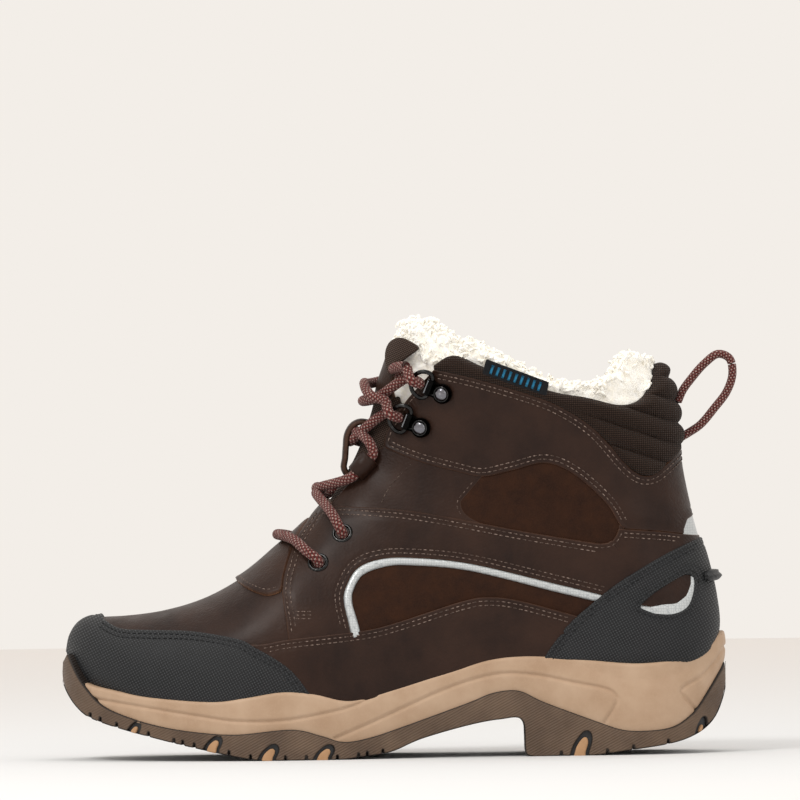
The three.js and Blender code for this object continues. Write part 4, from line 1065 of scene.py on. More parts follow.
def add_lights():
    world = bpy.data.worlds.new("studio")
    world.use_nodes = True
    sky = world.node_tree.nodes["Background"]
    sky.inputs["Color"].default_value = WALL
    sky.inputs["Strength"].default_value = 1.0
    bpy.context.scene.world = world
    add_light("key", (-0.75, -0.9, 1.35), (-0.07, 0, 0.05), 0.5, 10, (1, 0.985, 0.96))
    add_light("fill", (0.9, -1.1, 0.7), (-0.05, 0, 0.08), 0.9, 1.5)
    add_light("top", (-0.05, 0.1, 1.5), (-0.05, 0, 0.1), 0.9, 3)
    bpy.context.scene.view_settings.view_transform = "Standard"


add_camera()
add_stage()
add_lights()


# ---------------- the upper
NEAR_ROW, FAR_ROW = 1.7, 3.5  # the two rows of stitches, from the panel's edge
ROW_WIDTH, ROW_DEPTH = 0.5, 0.3  # how the leather is drawn down along a row
FLAT_EDGE = 6  # how far from its edge a panel reaches its full swell
TUCK = 3.0  # how far a panel runs on under the one that is sewn over it
# heights of the panels' outer faces over the upper's surface
HEIGHT = {
    "vamp": -0.4, "vamp_tab": 1.2, "toe_cap": 1.5, "heel_cover": 1.6, "foxing": 1.0, "midfoot_panel": -0.6,
    "piping": 1.1, "eyestay": 0.7, "ankle_panel": -0.6, "collar_quarter": 0.6, "saddle": 0.0,
    "reflector": 0.2,
}


# A swell is a function of the panel's points and their distances to its edge.
def soft_bulge(amount, size, seed):
    """Slow swells of the leather, none at its sewn edges."""
    def swell(points, field):
        return amount * lumps(points, size, seed) * np.clip(field / FLAT_EDGE, 0, 1)
    return swell


def sewn(amount, size, seed):
    """The same, drawn down along the panel's two rows of stitches."""
    bulge = soft_bulge(amount, size, seed)

    def swell(points, field):
        rows = sum(np.exp(-((field - row) / ROW_WIDTH) ** 2) for row in (NEAR_ROW, FAR_ROW))
        return bulge(points, field) - ROW_DEPTH * rows
    return swell


def pillow(amount, reach):
    """A panel that is padded from behind: full in the middle, drawn down at its seams."""
    def swell(points, field):
        share = np.clip(field / reach, 0, 1)
        return amount * (1 - (1 - share) ** 2.2)
    return swell


def add_upper():
    """The panels that run round the toe or the heel, then those of each side."""
    panel("vamp_leather", "front", both(grown(in_vamp, TUCK), in_view), HEIGHT["vamp"], "leather", "leather",
          "vamp", swell=soft_bulge(0.35, 16, 1))
    panel("vamp_tab_leather", "front", in_tab, HEIGHT["vamp_tab"], "leather", "leather", "vamp_tab",
          round_edge=0.9, swell=soft_bulge(0.3, 12, 2))
    panel("toe_guard", "front", both(in_toe_cap, in_view), HEIGHT["toe_cap"], "guard", "guard", "toe_cap",
          round_edge=0.9, swell=sewn(0.2, 14, 21))
    windowed = both(in_heel_cover, outside(in_heel_window), in_view)
    panel("heel_guard", "back", windowed, HEIGHT["heel_cover"], "guard", "guard", "heel_cover",
          round_edge=0.9, swell=sewn(0.12, 14, 22))
    panel("heel_reflector_film", "back", grown(in_reflector, 0.5), HEIGHT["reflector"], "reflective",
          "reflective", "heel_reflector", round_edge=0.6)
    for name in SIDES:
        add_side(name)


def add_side(name):
    """The panels that each side has of its own."""
    under_foxing = outside(in_foxing, -TUCK)
    by_inset = outside(in_inset)
    leather, inset = ("leather", "leather"), ("nubuck", "inset_leather")
    sheets = {
        "foxing": (both(in_foxing, in_view, outside(in_window_film)), leather, sewn(0.25, 14, 3)),
        "midfoot_panel": (both(grown(in_piping_inner, 1.5), under_foxing), inset, pillow(0.9, 9)),
        "eyestay": (both(in_eyestay, outside(in_piping_outer), under_foxing), leather, sewn(0.3, 12, 4)),
        "ankle_panel": (grown(in_inset, TUCK), inset, pillow(1.0, 12)),
        "collar_quarter": (both(in_collar, by_inset, outside(in_reflector), outside(in_eyestay, -TUCK)),
                           leather, sewn(0.45, 17, 5)),
        "saddle": (both(grown(in_saddle, TUCK), by_inset, outside(in_throat, -0.5)), leather,
                   soft_bulge(0.35, 14, 6)),
    }
    for part, (region, (paint, slot), swell) in sheets.items():
        panel(f"{part}_leather_{name}", name, region, HEIGHT[part], paint, slot, f"{part}_{name}",
              swell=swell)
    piping = both(in_piping_outer, outside(in_piping_inner), under_foxing)
    panel(f"piping_film_{name}", name, piping, HEIGHT["piping"], "reflective", "reflective", f"piping_{name}",
          round_edge=1.7)
    panel(f"window_film_{name}", name, both(in_window_film, grown(in_heel_window, 3)), HEIGHT["piping"],
          "reflective", "reflective", round_edge=1.2)


# ---------------- seams
def add_seams():
    """Pale rows of stitches on the leather and black ones on the guards."""
    near, far = NEAR_ROW, FAR_ROW
    cover = (in_toe_cap, in_heel_cover)
    leather_rows = []

    def sew(line, region, part, offsets=(near, far), clear_of=cover):
        line = edge[line] if isinstance(line, str) else line
        leather_rows.extend(rows_inside(line, region, offsets, HEIGHT[part], clear_of=clear_of))

    sew("foxing_top", in_foxing, "foxing")
    hem = both(in_eyestay, outside(in_piping_outer), outside(in_foxing))
    sew("piping_outer", hem, "eyestay")
    sew("eyestay_top", both(in_eyestay, outside(in_inset)), "eyestay")
    sew("vamp_seam", hem, "eyestay", clear_of=(in_toe_cap, in_foxing))
    sew("throat_low", hem, "eyestay")
    sew("inset_back", hem, "eyestay", (near,))
    sew("heel_seam", hem, "eyestay", clear_of=(in_heel_cover, in_reflector))
    quarter = both(in_collar, outside(in_inset), outside(in_reflector))
    sew("collar_low", quarter, "collar_quarter", clear_of=(in_inset,))
    sew("collar_top", quarter, "collar_quarter", clear_of=(in_reflector,))
    sew("collar_front", quarter, "collar_quarter", (near,))
    saddle = both(in_saddle, outside(in_inset))
    yoke = spline([
        [-60.5, 129.5], [-64.5, 126], [-70, 120.5], [-74.8, 114.6], [-77.4, 109], [-77.8, 105],
    ], 1.0)
    sew(yoke, saddle, "saddle", (-0.9, 0.9), clear_of=(in_collar, in_eyestay))
    sew("inset_front", saddle, "saddle", (near,), clear_of=(in_collar, in_eyestay))
    for z in (60.2, 61.7, 63.2):
        sew(spline([[-114.2, z], [-107.6, z]], 0.5), in_eyestay, "eyestay", (0,), clear_of=())
    sew("tab_front", in_tab, "vamp_tab", (1.8,), clear_of=())
    stitches("seam_stitches", leather_rows, PAINTS["thread"])

    under_sole = outside(in_view, -2)
    back_seam = inside([[58, 87], [74, 87], [74, 100], [58, 100]])
    window = np.concatenate([edge["heel_window"], edge["heel_window"][:1]])
    round_window = both(in_heel_cover, outside(in_heel_window))
    toe, heel = HEIGHT["toe_cap"], HEIGHT["heel_cover"]
    guard_rows = [
        *rows_inside(edge["toe_cap_top"], in_toe_cap, (near, far), toe, (under_sole,)),
        *rows_inside(edge["heel_cover"], in_heel_cover, (near, far), heel, (under_sole, back_seam)),
        *rows_inside(window, round_window, (near,), heel),
    ]
    stitches("guard_stitches", guard_rows, PAINTS["black_thread"])


# ---------------- the sole
# x, half width, shift to the medial side
SOLE_PLAN = np.array([
    [-215, 0, 9], [-212.5, 12, 8.8], [-206, 22.5, 8.2], [-196, 31.5, 7], [-180, 40, 5], [-160, 46.5, 3],
    [-140, 50, 1], [-122, 50.5, 0], [-100, 48, -1], [-75, 42.5, -1.5], [-50, 38.5, -1.5], [-25, 36.5, -1],
    [0, 36.5, 0], [25, 36.5, 0], [42, 34, 0], [56, 26.5, 0], [65, 16.5, 0], [69.5, 8, 0], [71, 0, 0],
])
# x and z of the drops of tan that show at the edge, their width and height
PODS = [
    (-185, 11.4, 5.2, 5), (-151.2, 4.6, 6.8, 5.6), (-127.4, 0.4, 7.4, 6), (-103.6, 0.3, 7.4, 5.6),
    (6.4, 0.4, 7.6, 9.2), (58.8, 8.4, 3.8, 6),
]
# x of the thin cuts across the tread
SLITS = [
    -203, -198.7, -191.6, -177.9, -167, -163.2, -158.3, -143.4, -134.2, -119.2, -110.3, -97, -88, -84.2,
    -77.6, -1.3, 18.5, 29.7, 44.7,
]
# x and z of the lines moulded in the midsole
GROOVES = [
    [[-97.5, 9.2], [-83.3, 15.1], [-69, 21.3], [-54.8, 27.5], [-40.5, 32.6], [-26.2, 35.6], [-11.4, 34.8],
     [4, 31.5], [17.8, 28.6], [22.4, 25.9], [22.8, 22], [17.8, 14]],
    [[69.6, 45.1], [65.4, 39], [59.3, 33], [51.6, 28.5], [50.8, 25.8], [57, 18.8]],
    [[-200.6, 26.7], [-177.5, 22.9], [-154.5, 19.1], [-139.1, 17], [-119.9, 17.1], [-103.2, 19.7],
     [-90.4, 22.7], [-80, 27]],
]
HEEL_BREAST = -16.6  # x of the step in front of the heel block
# x and z of the tips of the sole, seen from the side
TOE_PROFILE = np.array([
    [-198.3, 16.7], [-203.6, 18.9], [-208.2, 22.6], [-212.3, 28], [-214.5, 33], [-215, 38], [-214.8, 42],
    [-213.2, 45], [-211.6, 46.2],
])
HEEL_PROFILE = np.array([
    [60, 9.9], [65.4, 15.2], [68.9, 22.9], [70.6, 30.5], [70.4, 38.6], [70.8, 44], [70, 52],
])
TIP_MARGIN = 0.15  # how far inside the side outline the sole's tips stay


def plan_line():
    """The sole's outline seen from above, from the heel's tip round the lateral side and the toe."""
    x, half, shift = SOLE_PLAN.T
    lateral, medial = (spline(np.stack([x, shift + side * half], -1), 1.0) for side in SIDES.values())
    return resampled(np.concatenate([lateral[::-1], medial[1:]]), 1.0)


PLAN = plan_line()
PLAN_OUT = unit(np.stack([-np.gradient(PLAN[:, 1]), np.gradient(PLAN[:, 0])], -1))


def way_round(values, t):
    """The values on the sole's outline at a share of the way round."""
    return np.stack([np.interp(t, np.linspace(0, 1, len(PLAN)), values[:, k]) for k in (0, 1)], -1)


def wall(inset):
    """The upright face of the sole, inset from its plan outline: values are z and the way round."""
    def locate(z, t):
        flat = way_round(PLAN, t) - unit(way_round(PLAN_OUT, t)) * inset
        toe = np.interp(z, TOE_PROFILE[:, 1], TOE_PROFILE[:, 0]) + TIP_MARGIN
        heel = np.interp(z, HEEL_PROFILE[:, 1], HEEL_PROFILE[:, 0]) - TIP_MARGIN
        return np.stack([np.clip(flat[:, 0], toe, heel), flat[:, 1], z], -1)

    def facing(z, t):
        out = unit(way_round(PLAN_OUT, t))
        return np.stack([out[:, 0], out[:, 1], np.zeros(len(t))], -1)

    heights, shares_round = np.arange(-1, 56, 0.55), np.linspace(0, 1, 760)
    return Patch(heights, shares_round, locate, facing)


def line_distance(line, x, z):
    """Distance from points of the side view to an open line."""
    line = resampled(spline(line), 0.5)
    nearest = np.full(len(x), 1e9)
    for px, pz in line:
        nearest = np.minimum(nearest, np.hypot(x - px, z - pz))
    return nearest


def pod_outline(pod, grow):
    """A leaning drop: its tail at the tread and its round head up and towards the heel."""
    x, z, width, height = pod
    shape = [
        [-0.55, -0.5], [-0.25, 0.35], [0.1, 0.8], [0.38, 1.0], [0.62, 0.93], [0.68, 0.6], [0.5, 0.1],
        [0.32, -0.5],
    ]
    line = spline(np.array(shape + shape[:1]) * [width, height] + [x, z], 0.5)
    middle = np.array([x + 0.2 * width, z + 0.35 * height])
    return middle + (line - middle) * (1 + 2.0 * grow / width)


def slit_outline(x):
    """A thin cut that leans back as it goes up from the tread."""
    floor = float(np.interp(x, *edge["outsole_bottom"].T))
    return [[x - 0.8, floor - 3], [x + 0.5, floor - 3], [x + 0.7, floor + 1.9], [x + 0.1, floor + 2.1]]


def add_sole():
    """The sole's walls: rubber with drops of tan in it below, foam above, and the tread underneath."""
    bottom = edge["outsole_bottom"]
    side_outline = inside(edge["outsole_top"], bottom[::-1])
    hole, seat, drop = 0.55, 1.2, -1.1  # how far they pass the outlines of the tan drops
    open_parts = [inside(pod_outline(pod, hole)) for pod in PODS] + [inside(slit_outline(x)) for x in SLITS]
    outsole_region = both(side_outline, *(outside(part) for part in open_parts))
    panel("outsole_wall", wall(0.0), outsole_region, 0.0, "outsole", "rubber", "outsole", bottom=-7)
    seats = both(side_outline, any_of([inside(pod_outline(pod, seat)) for pod in PODS]))
    panel("pod_seats", wall(1.3), seats, 0.0, "spur_rubber", "rubber", round_edge=0.2, bottom=-2)
    drops = both(grown(side_outline, 0.2), any_of([inside(pod_outline(pod, drop)) for pod in PODS]))
    panel("tread_pods", wall(0.0), drops, -0.1, "insert", "tread_insert", "tread_core", round_edge=0.6,
          bottom=-4)

    under = edge["outsole_top"][edge["outsole_top"][:, 0] > -202]
    midsole_region = inside(edge["midsole_top"], [[72, 44], [70.6, 38.9]], moved(under[::-1], 0, -2)[1:])

    def moulded(points, field):
        """The lines moulded in the foam, and the crown of its wall."""
        depth, half_width, crown, wall_height = 0.9, 0.65, 0.7, 22
        x, z = points[:, 0], points[:, 2]
        height = np.zeros(len(points))
        for groove in GROOVES:
            height -= depth * np.exp(-(line_distance(groove, x, z) / half_width) ** 2)
        share = (z - np.interp(x, *edge["outsole_top"].T)) / wall_height
        return height + crown * np.sin(np.clip(share, 0, 1) * math.pi)

    panel("midsole_wall", wall(1.2), midsole_region, 0.0, "foam", "midsole_foam", "midsole", round_edge=1.6,
          bottom=-9, swell=moulded)
    add_tread(bottom)


def add_tread(bottom):
    """The underside: a rolling tread of blocks with a step at the heel."""
    arch = bottom[bottom[:, 0] < HEEL_BREAST]
    heel = bottom[bottom[:, 0] >= HEEL_BREAST]

    def floor_at(x):
        in_front, behind = (np.interp(x, *part.T) for part in (arch, heel))
        return np.where(x < HEEL_BREAST, in_front, behind)

    def locate(x, y):
        return np.stack([x, y, floor_at(x) + relief(x, y)], -1)

    def relief(x, y):
        """Bent slits across the tread and a groove on each side of its middle, or of the arch's."""
        half, shift = (np.interp(x, SOLE_PLAN[:, 0], SOLE_PLAN[:, column]) for column in (1, 2))
        share = np.abs(y - shift) / np.maximum(half, 1)
        slit_depth, tread_groove_depth, arch_groove_depth = 1.8, 1.6, 1.2
        tread_groove, arch_groove = 0.16, 0.5  # shares of the half width
        bend = 7 * np.clip(1 - share, 0, 1) ** 1.5
        depth = np.zeros(len(x))
        for slit in SLITS:
            across = np.exp(-((x - slit - bend) / 0.8) ** 4)
            depth += slit_depth * across * np.clip((share - tread_groove) * 8, 0, 1)
        middle = tread_groove_depth * np.exp(-((share - tread_groove) / 0.035) ** 4)
        waist = arch_groove_depth * np.exp(-((share - arch_groove) / 0.04) ** 4)
        on_tread = (x < -70) | (x > HEEL_BREAST + 3)
        return np.where(on_tread, np.maximum(depth, middle), waist)

    def facing(x, y):
        return np.broadcast_to([0.0, 0.0, -1.0], (len(x), 3))

    xs = np.concatenate([np.arange(-215, HEEL_BREAST, 0.75), np.arange(HEEL_BREAST, 71, 0.75)])
    patch = Patch(xs, np.arange(-54, 54, 0.9), locate, facing)
    patch.triangles = patch.triangles[:, ::-1]
    within = distance_inside(PLAN, patch.where[:, 0], patch.where[:, 1])
    patch.tidy(patch.cut(within, 0.35))
    belongs(mesh_object("tread", patch.base(), patch.triangles, PAINTS["outsole"], smooth=False), "rubber")


# ---------------- linings and padding
def collar_rolls(points, field):
    """Three sewn channels round the back of the collar, and one soft roll along its sides."""
    x, z = points[:, 0], points[:, 2]
    pitch, slope = 9.2, 0.35
    seam_x, seam_z = 30, 121  # a point of the lowest seam between the channels
    side_height, back_height = 2.6, 3.0
    along = (z - seam_z + slope * (x - seam_x)) / pitch
    channel = np.abs(np.sin(along * math.pi)) ** 0.55
    roll = side_height * np.clip(field / 5, 0, 1) ** 0.5
    rolls = back_height * channel * np.clip(field / 2.2, 0, 1) ** 0.6 - 0.3
    at_back = np.clip((x - 6) / 14, 0, 1)
    return roll * (1 - at_back) + at_back * rolls


def pile(points, field):
    """The lumps of the pile."""
    return lumps(points, 4.2, 11) + 0.6 * lumps(points, 1.9, 12)


in_fleece = inside(
    edge["fleece_top"], [[85, 168], [85, 90], [-130, 90], [-130, 184], [-75, 184], [-53, 179]],
)
above_collar = inside(moved(edge["padding_top"], 0, -9), [[60, 160], [60, 205], [-70, 205], [-70, 160]])
inner_throat = inside(
    spline([[-117, 76], [-96, 86], [-82, 104], [-73, 120], [-63, 136], [-57, 150], [-46, 166], [-41, 184]]),
    [[-41, 200], [-130, 200], [-130, 120]],
)
CURL_SIZE = 1.35


def curls(name, points, normals, count, seed):
    """Short curled tufts standing on a surface, for the pile's broken outline."""
    draw = np.random.default_rng(seed)
    chosen = draw.choice(len(points), count)
    base, out = points[chosen] + draw.normal(0, 0.5, (count, 3)), normals[chosen]
    turns, sides = 7, 5
    sweep = np.linspace(-0.6, 3.0, turns)
    theta = np.linspace(0, 2 * math.pi, sides, endpoint=False)
    side_way = unit(np.cross(out, unit(draw.normal(0, 1, (count, 3)))))
    lean = unit(out + 0.42 * draw.normal(0, 1, (count, 3)))
    ring = CURL_SIZE * draw.uniform(0.7, 1.25, (count, 1, 1))
    centres = base[:, None] + ring * (
        np.cos(sweep)[None, :, None] * side_way[:, None] + np.sin(sweep)[None, :, None] * lean[:, None]
    )
    tangent = unit(np.gradient(centres, axis=1))
    first = unit(np.cross(side_way, lean))[:, None] + np.zeros_like(centres)
    second = np.cross(tangent, first)
    thick = 0.5 * CURL_SIZE * np.sin(np.linspace(0.5, math.pi - 0.25, turns))[None, :, None, None]
    cosine, sine = np.cos(theta)[None, None, :, None], np.sin(theta)[None, None, :, None]
    shape = cosine * first[:, :, None] + sine * second[:, :, None]
    every = (centres[:, :, None] + thick * shape).reshape(-1, 3)
    faces = grid_faces(turns, sides, closed=True)
    all_faces = (faces[None] + (np.arange(count) * turns * sides)[:, None, None]).reshape(-1, 4)
    return belongs(mesh_object(name, every, all_faces, PAINTS["fleece"]), "fleece")


def add_linings():
    """The padded collar, and the pile that lines the shaft and stands above it."""
    pad_patch = upper_patch("back", np.linspace(0.58, 1, 230))
    collar = panel("collar_pad", pad_patch, grown(in_padding, 0.8), -0.2, "knit", "textile", "collar_padding",
                   round_edge=1.8, bottom=-4.6, swell=collar_rolls, closed=True)

    lining_places = np.linspace(0.3, 1.0, 170)
    angles = np.linspace(0.0, 2 * math.pi, 260)
    region = both(in_fleece, outside(inner_throat))
    panel("fleece_pile", upper_patch(angles, lining_places), region, -5.0, "fleece", "fleece",
          "fleece_lining", round_edge=2.4, bottom=-10.8, swell=pile, closed=True)
    add_rim_curls(both(region, above_collar), upper_patch(angles, lining_places))


def add_rim_curls(region, patch):
    """Tufts on the outer face, the inner face and the rim of the lining above the collar."""
    top = patch.keep(region) < 4.5
    points, normals = patch.base(), patch.normals()
    outer_face, inner_face, between = 5.4, 10.4, 8
    outer = points[top] - normals[top] * outer_face
    inner = points - normals * inner_face
    rim = points[top] - normals[top] * between
    places = np.concatenate([outer, inner, rim])
    ways = np.concatenate([normals[top], -normals, unit(normals[top] * 0.2 + [0, 0, 1.0])])
    curls("fleece_curls", places, ways, 2400, 21)


# ---------------- the tongue
in_tongue = inside(
    [[-104, 106], [-97, 112], [-89, 119], [-81, 128.6], [-74.9, 133], [-72.5, 140], [-71, 148], [-73, 155],
     [-74.2, 160], [-72.6, 164.5], [-76, 171.5], [-90, 174], [-120, 150]],
)
in_knit_gusset = inside([
    [-104, 106], [-70, 106], [-58, 135], [-50, 150], [-52, 158], [-62, 156], [-120, 146],
])


def add_tongue():
    """Leather over a ribbed gusset on the outside, pile on the inside and round the top."""
    leather = both(grown(in_tongue, 1.5), outside(in_knit_gusset, -1))
    panel("tongue_leather", "front", leather, -0.9, "leather", "leather", "tongue_face", round_edge=0.8,
          bottom=-2.4, swell=soft_bulge(0.5, 9, 31), closed=True)
    knit = both(grown(in_tongue, 3), in_knit_gusset)
    panel("tongue_gusset", "front", knit, -1.7, "webbing", "textile", round_edge=0.5, bottom=-3.2,
          closed=True)
    reach = inside([[-104, 100], [-47, 140], [-41, 168], [-48, 180], [-60, 187], [-74, 187], [-90, 180]])
    angles = np.linspace(-1.75, 1.75, 120)
    panel("tongue_pile", upper_patch(angles, np.linspace(0.45, 1, 120)), reach, -3.4, "fleece", "fleece",
          "tongue", round_edge=2.2, bottom=-8.6, swell=pile, closed=True)
    patch = upper_patch(angles, np.linspace(0.8, 1, 90))
    rim = both(reach, inside([[-80, 170], [-70, 176], [-52, 166], [-40, 160], [-40, 195], [-80, 195]]))
    near_top = patch.keep(rim) < 6
    points, normals = patch.base()[near_top], patch.normals()[near_top]
    depths = (4, 6, 8.4)
    places = np.concatenate([points - normals * depth for depth in depths])
    ways = np.tile(unit(normals * 0.3 + [0, 0, 1.0]), (len(depths), 1))
    curls("tongue_curls", places, ways, 1300, 33)


# ---------------- metal fittings
def rounded(profile):
    """A smooth closed version of a turned profile."""
    return spline(profile, 0.15)


def plate(outline, low, high, soften):
    """A flat plate from a closed outline, with softened edges."""
    outline = np.asarray(outline, float)
    middle = outline.mean(0)
    inward = unit(middle - outline) * soften
    layers = [
        (outline + inward, low), (outline, low + soften), (outline, high - soften), (outline + inward, high),
    ]
    points = [np.column_stack([flat, np.full(len(flat), z)]) for flat, z in layers]
    count = len(outline)
    faces = grid_faces(len(layers), count, closed=True)
    points = np.concatenate(points + [[[*middle, low]], [[*middle, high]]])
    around = np.arange(count)
    ahead = np.roll(around, -1)
    top_layer, total = 3 * count, 4 * count
    lower = fan(around, ahead, total)
    upper = fan(ahead + top_layer, around + top_layer, total + 1)
    return points, capped(faces, lower, upper)


BAR_ALONG, BAR_HEIGHT = 6.4, 2.2  # where the ring's straight bar lies, from the rivet
RING_HALF = [[0, 2], [0, 4.2], [1.1, 5.6], [3.4, 5.9], [6.6, 4.2], [8.4, 0]]
RING_LIFT = math.radians(10)


def ring_line():
    """The D-shaped ring's middle line in its rivet's frame, tilted up about its straight bar."""
    loop = RING_HALF + [[u, -v] for u, v in RING_HALF[-2::-1]]
    closed = np.array([[u, v, 0] for u, v in loop], float)
    line = through(np.concatenate([closed[-2:], closed, closed[:2]]), 0.3)
    starts = np.linalg.norm(line - closed[0], axis=1)
    first = int(np.argmin(starts[: len(line) // 2]))
    last = len(line) // 2 + int(np.argmin(starts[len(line) // 2:]))
    line = line[first:last]
    u, v = line[:, 0], line[:, 1]
    return np.stack([BAR_ALONG + u * math.cos(RING_LIFT), v, BAR_HEIGHT + u * math.sin(RING_LIFT)], -1)


def closed_tube(line, radius):
    """A tube round a closed flat line."""
    sides = 14
    tangent = unit(np.roll(line, -1, axis=0) - np.roll(line, 1, axis=0))
    flat = unit(np.cross(line[2] - line[0], line[len(line) // 2] - line[0]))
    across = np.cross(tangent, flat)
    theta = np.linspace(0, 2 * math.pi, sides, endpoint=False)
    ring = np.cos(theta)[None, :, None] * across[:, None] + np.sin(theta)[None, :, None] * flat
    points = (line[:, None] + radius * ring).reshape(-1, 3)
    index = np.arange(len(points)).reshape(len(line), sides)
    index = np.concatenate([index, index[:1]])
    index = np.concatenate([index, index[:, :1]], axis=1)
    corners = index[:-1, :-1], index[:-1, 1:], index[1:, 1:], index[1:, :-1]
    return points, np.stack(corners, -1).reshape(-1, 4)


def fitting(name, shape, frame_here, paint, *nodes, body=BODY):
    """A metal piece from its points and faces in a frame on the upper."""
    points, faces = shape
    obj = mesh_object(name, in_frame(frame_here, points), faces, PAINTS[paint])
    return belongs(obj, "metal", *nodes, body=body)


def clip_outline():
    """A disc round the rivet that runs out into a straight end."""
    radius, opening = 4.3, 0.85
    turn = np.linspace(opening, 2 * math.pi - opening, 48)
    disc = np.stack([radius * np.cos(turn), radius * np.sin(turn)], -1)
    to_end = spline([[2.84, -3.23], [4.4, -3.3], [5.6, -3.5], [7.1, -3.5]], 0.4)
    from_end = spline([[7.1, 3.5], [5.6, 3.5], [4.4, 3.3], [2.84, 3.23]], 0.4)
    return np.concatenate([disc, to_end[1:], from_end[:-1]])


def lying_lathe(profile, steps, along, height):
    """A turned shape with its axis across the clip."""
    points, faces = lathe(profile, steps)
    return np.stack([points[:, 0] + along, points[:, 2], points[:, 1] + height], -1), faces


def sleeve():
    """The clip's rolled end, wrapped round the ring's bar."""
    profile = [[0.96, -3.5], [1.6, -3.5], [1.75, -3.3], [1.75, 3.3], [1.6, 3.5], [0.96, 3.5]]
    return lying_lathe(profile, 28, BAR_ALONG, BAR_HEIGHT)


def highlight_strip():
    """A thin bright strip along the clip's rolled end: a painted highlight where its edge catches the light.
    """
    profile = [[0.01, -3.1], [0.38, -3.0], [0.42, -2.8], [0.42, 2.8], [0.38, 3.0], [0.01, 3.1]]
    return lying_lathe(profile, 16, BAR_ALONG + 1.1, BAR_HEIGHT + 1.25)


def add_fittings():
    """Eyelets below, and above them the rings with their clips and rivets. Profiles are (radius, height)."""
    eyelet = lathe(rounded([
        [3.05, -3.0], [4.1, -3.0], [3.5, -2.4], [3.35, -0.5], [3.6, 0.5], [4.5, 0.55], [4.42, 0.95],
        [3.9, 1.28], [3.35, 1.2], [3.05, 0.7], [3.0, -1.0], [3.05, -3.0],
    ]))
    rivet = lathe([
        [0.01, -2.9], [2.1, -2.9], [2.1, -2.3], [1.0, -2.3], [1.0, 2.8], [2.75, 2.8], [2.8, 3.2], [2.65, 3.7],
        [2.2, 4.15], [1.5, 4.45], [0.8, 4.58], [0.01, 4.6],
    ])
    washer = lathe(rounded([[2.8, 3.0], [3.4, 3.1], [3.5, 3.4], [3.2, 3.6], [2.9, 3.5], [2.8, 3.0]]))
    clip = plate(clip_outline(), 0.6, 3.2, 0.4)
    ring = closed_tube(ring_line(), 0.95)
    for name, side in SIDES.items():
        for row, place in enumerate(EYELETS, 1):
            here = local_frame(place, side, RING_DIRECTION)
            fitting(f"eyelet_ring_{row}_{name}", eyelet, here, "metal", f"eyelet_{row}_{name}")
        for row, place in enumerate(RIVETS, 1):
            here = local_frame(place, side, RING_DIRECTION)
            end = f"{row}_{name}"
            fitting(f"clip_plate_{end}", clip, here, "plate_metal", f"dring_clip_{end}")
            fitting(f"clip_sleeve_{end}", sleeve(), here, "plate_metal")
            # A painted highlight: a thin bright strip along the rolled end.
            fitting(f"clip_edge_{end}", highlight_strip(), here, "highlight_metal")
            fitting(f"rivet_head_{end}", rivet, here, "bright_metal", f"rivet_{end}")
            fitting(f"rivet_washer_{end}", washer, here, "metal")
            fitting(f"d_ring_{end}", ring, here, "metal", f"dring_{end}", body=f"ring_{end}")


# ---------------- straps, loops and tags
def add_keeper():
    """The leather strap over the tongue: its middle line with rounded long edges and a slight swell."""
    half_width, thickness, swell, beside = 6.0, 2.7, 0.3, -1.0
    line = spline(KEEPER_LINE, 1.0)
    middle = np.stack([line[:, 0], np.full(len(line), beside), line[:, 1]], -1)
    tangent = unit(np.gradient(middle, axis=0))
    sideways = np.array([0.0, 1.0, 0.0])
    across = unit(sideways - tangent * (sideways * tangent).sum(1, keepdims=True))
    out = np.cross(tangent, across)
    theta = np.linspace(0, 2 * math.pi, 28, endpoint=False)
    flat = power(np.cos(theta), 0.35) * half_width
    high = power(np.sin(theta), 0.8) * thickness / 2
    high = high + swell * (1 - (flat / half_width) ** 2)
    points = middle[:, None] + flat[None, :, None] * across[:, None] + high[None, :, None] * out[:, None]
    rows, count = len(middle), len(theta)
    total, last_ring = rows * count, (rows - 1) * count
    points = np.concatenate([points.reshape(-1, 3), middle[:1], middle[-1:]])
    around = np.arange(count)
    ahead = np.roll(around, -1)
    triangles = capped(
        grid_faces(rows, count, closed=True), fan(around, ahead, total),
        fan(ahead + last_ring, around + last_ring, total + 1),
    )
    depths = np.tile(np.clip(half_width - np.abs(flat), 0, 3) + 0.05, rows)
    attributes = {"edge": np.concatenate([depths, [1, 1]])}
    keeper = mesh_object("keeper_strap", points, triangles, PAINTS["leather"], attributes)
    belongs(keeper, "leather", "lace_keeper")


def add_tag_bars():
    """Plain upright bars woven into the side tag, in place of any lettering."""
    width, length, count = 1.15, 3.9, 9
    first_x, first_z = -28.2, 165.7
    step_x, step_z = 2.5, 0.93
    u, v = width / 2, length / 2
    outline = [[-u, -v], [u, -v], [u, v], [-u, v]]
    points, faces = plate(outline, 1.2, 1.78, 0.08)
    bars, sides = [], []
    for k in range(count):
        here = local_frame((first_x + step_x * k, first_z - step_z * k), SIDES["lateral"], TAG_DIRECTION)
        bars.append(in_frame(here, points))
        sides.append(faces + k * len(points))
    blue = mesh_object("side_tag_bars", np.concatenate(bars), np.concatenate(sides), PAINTS["tag_blue"])
    belongs(blue, "tag")


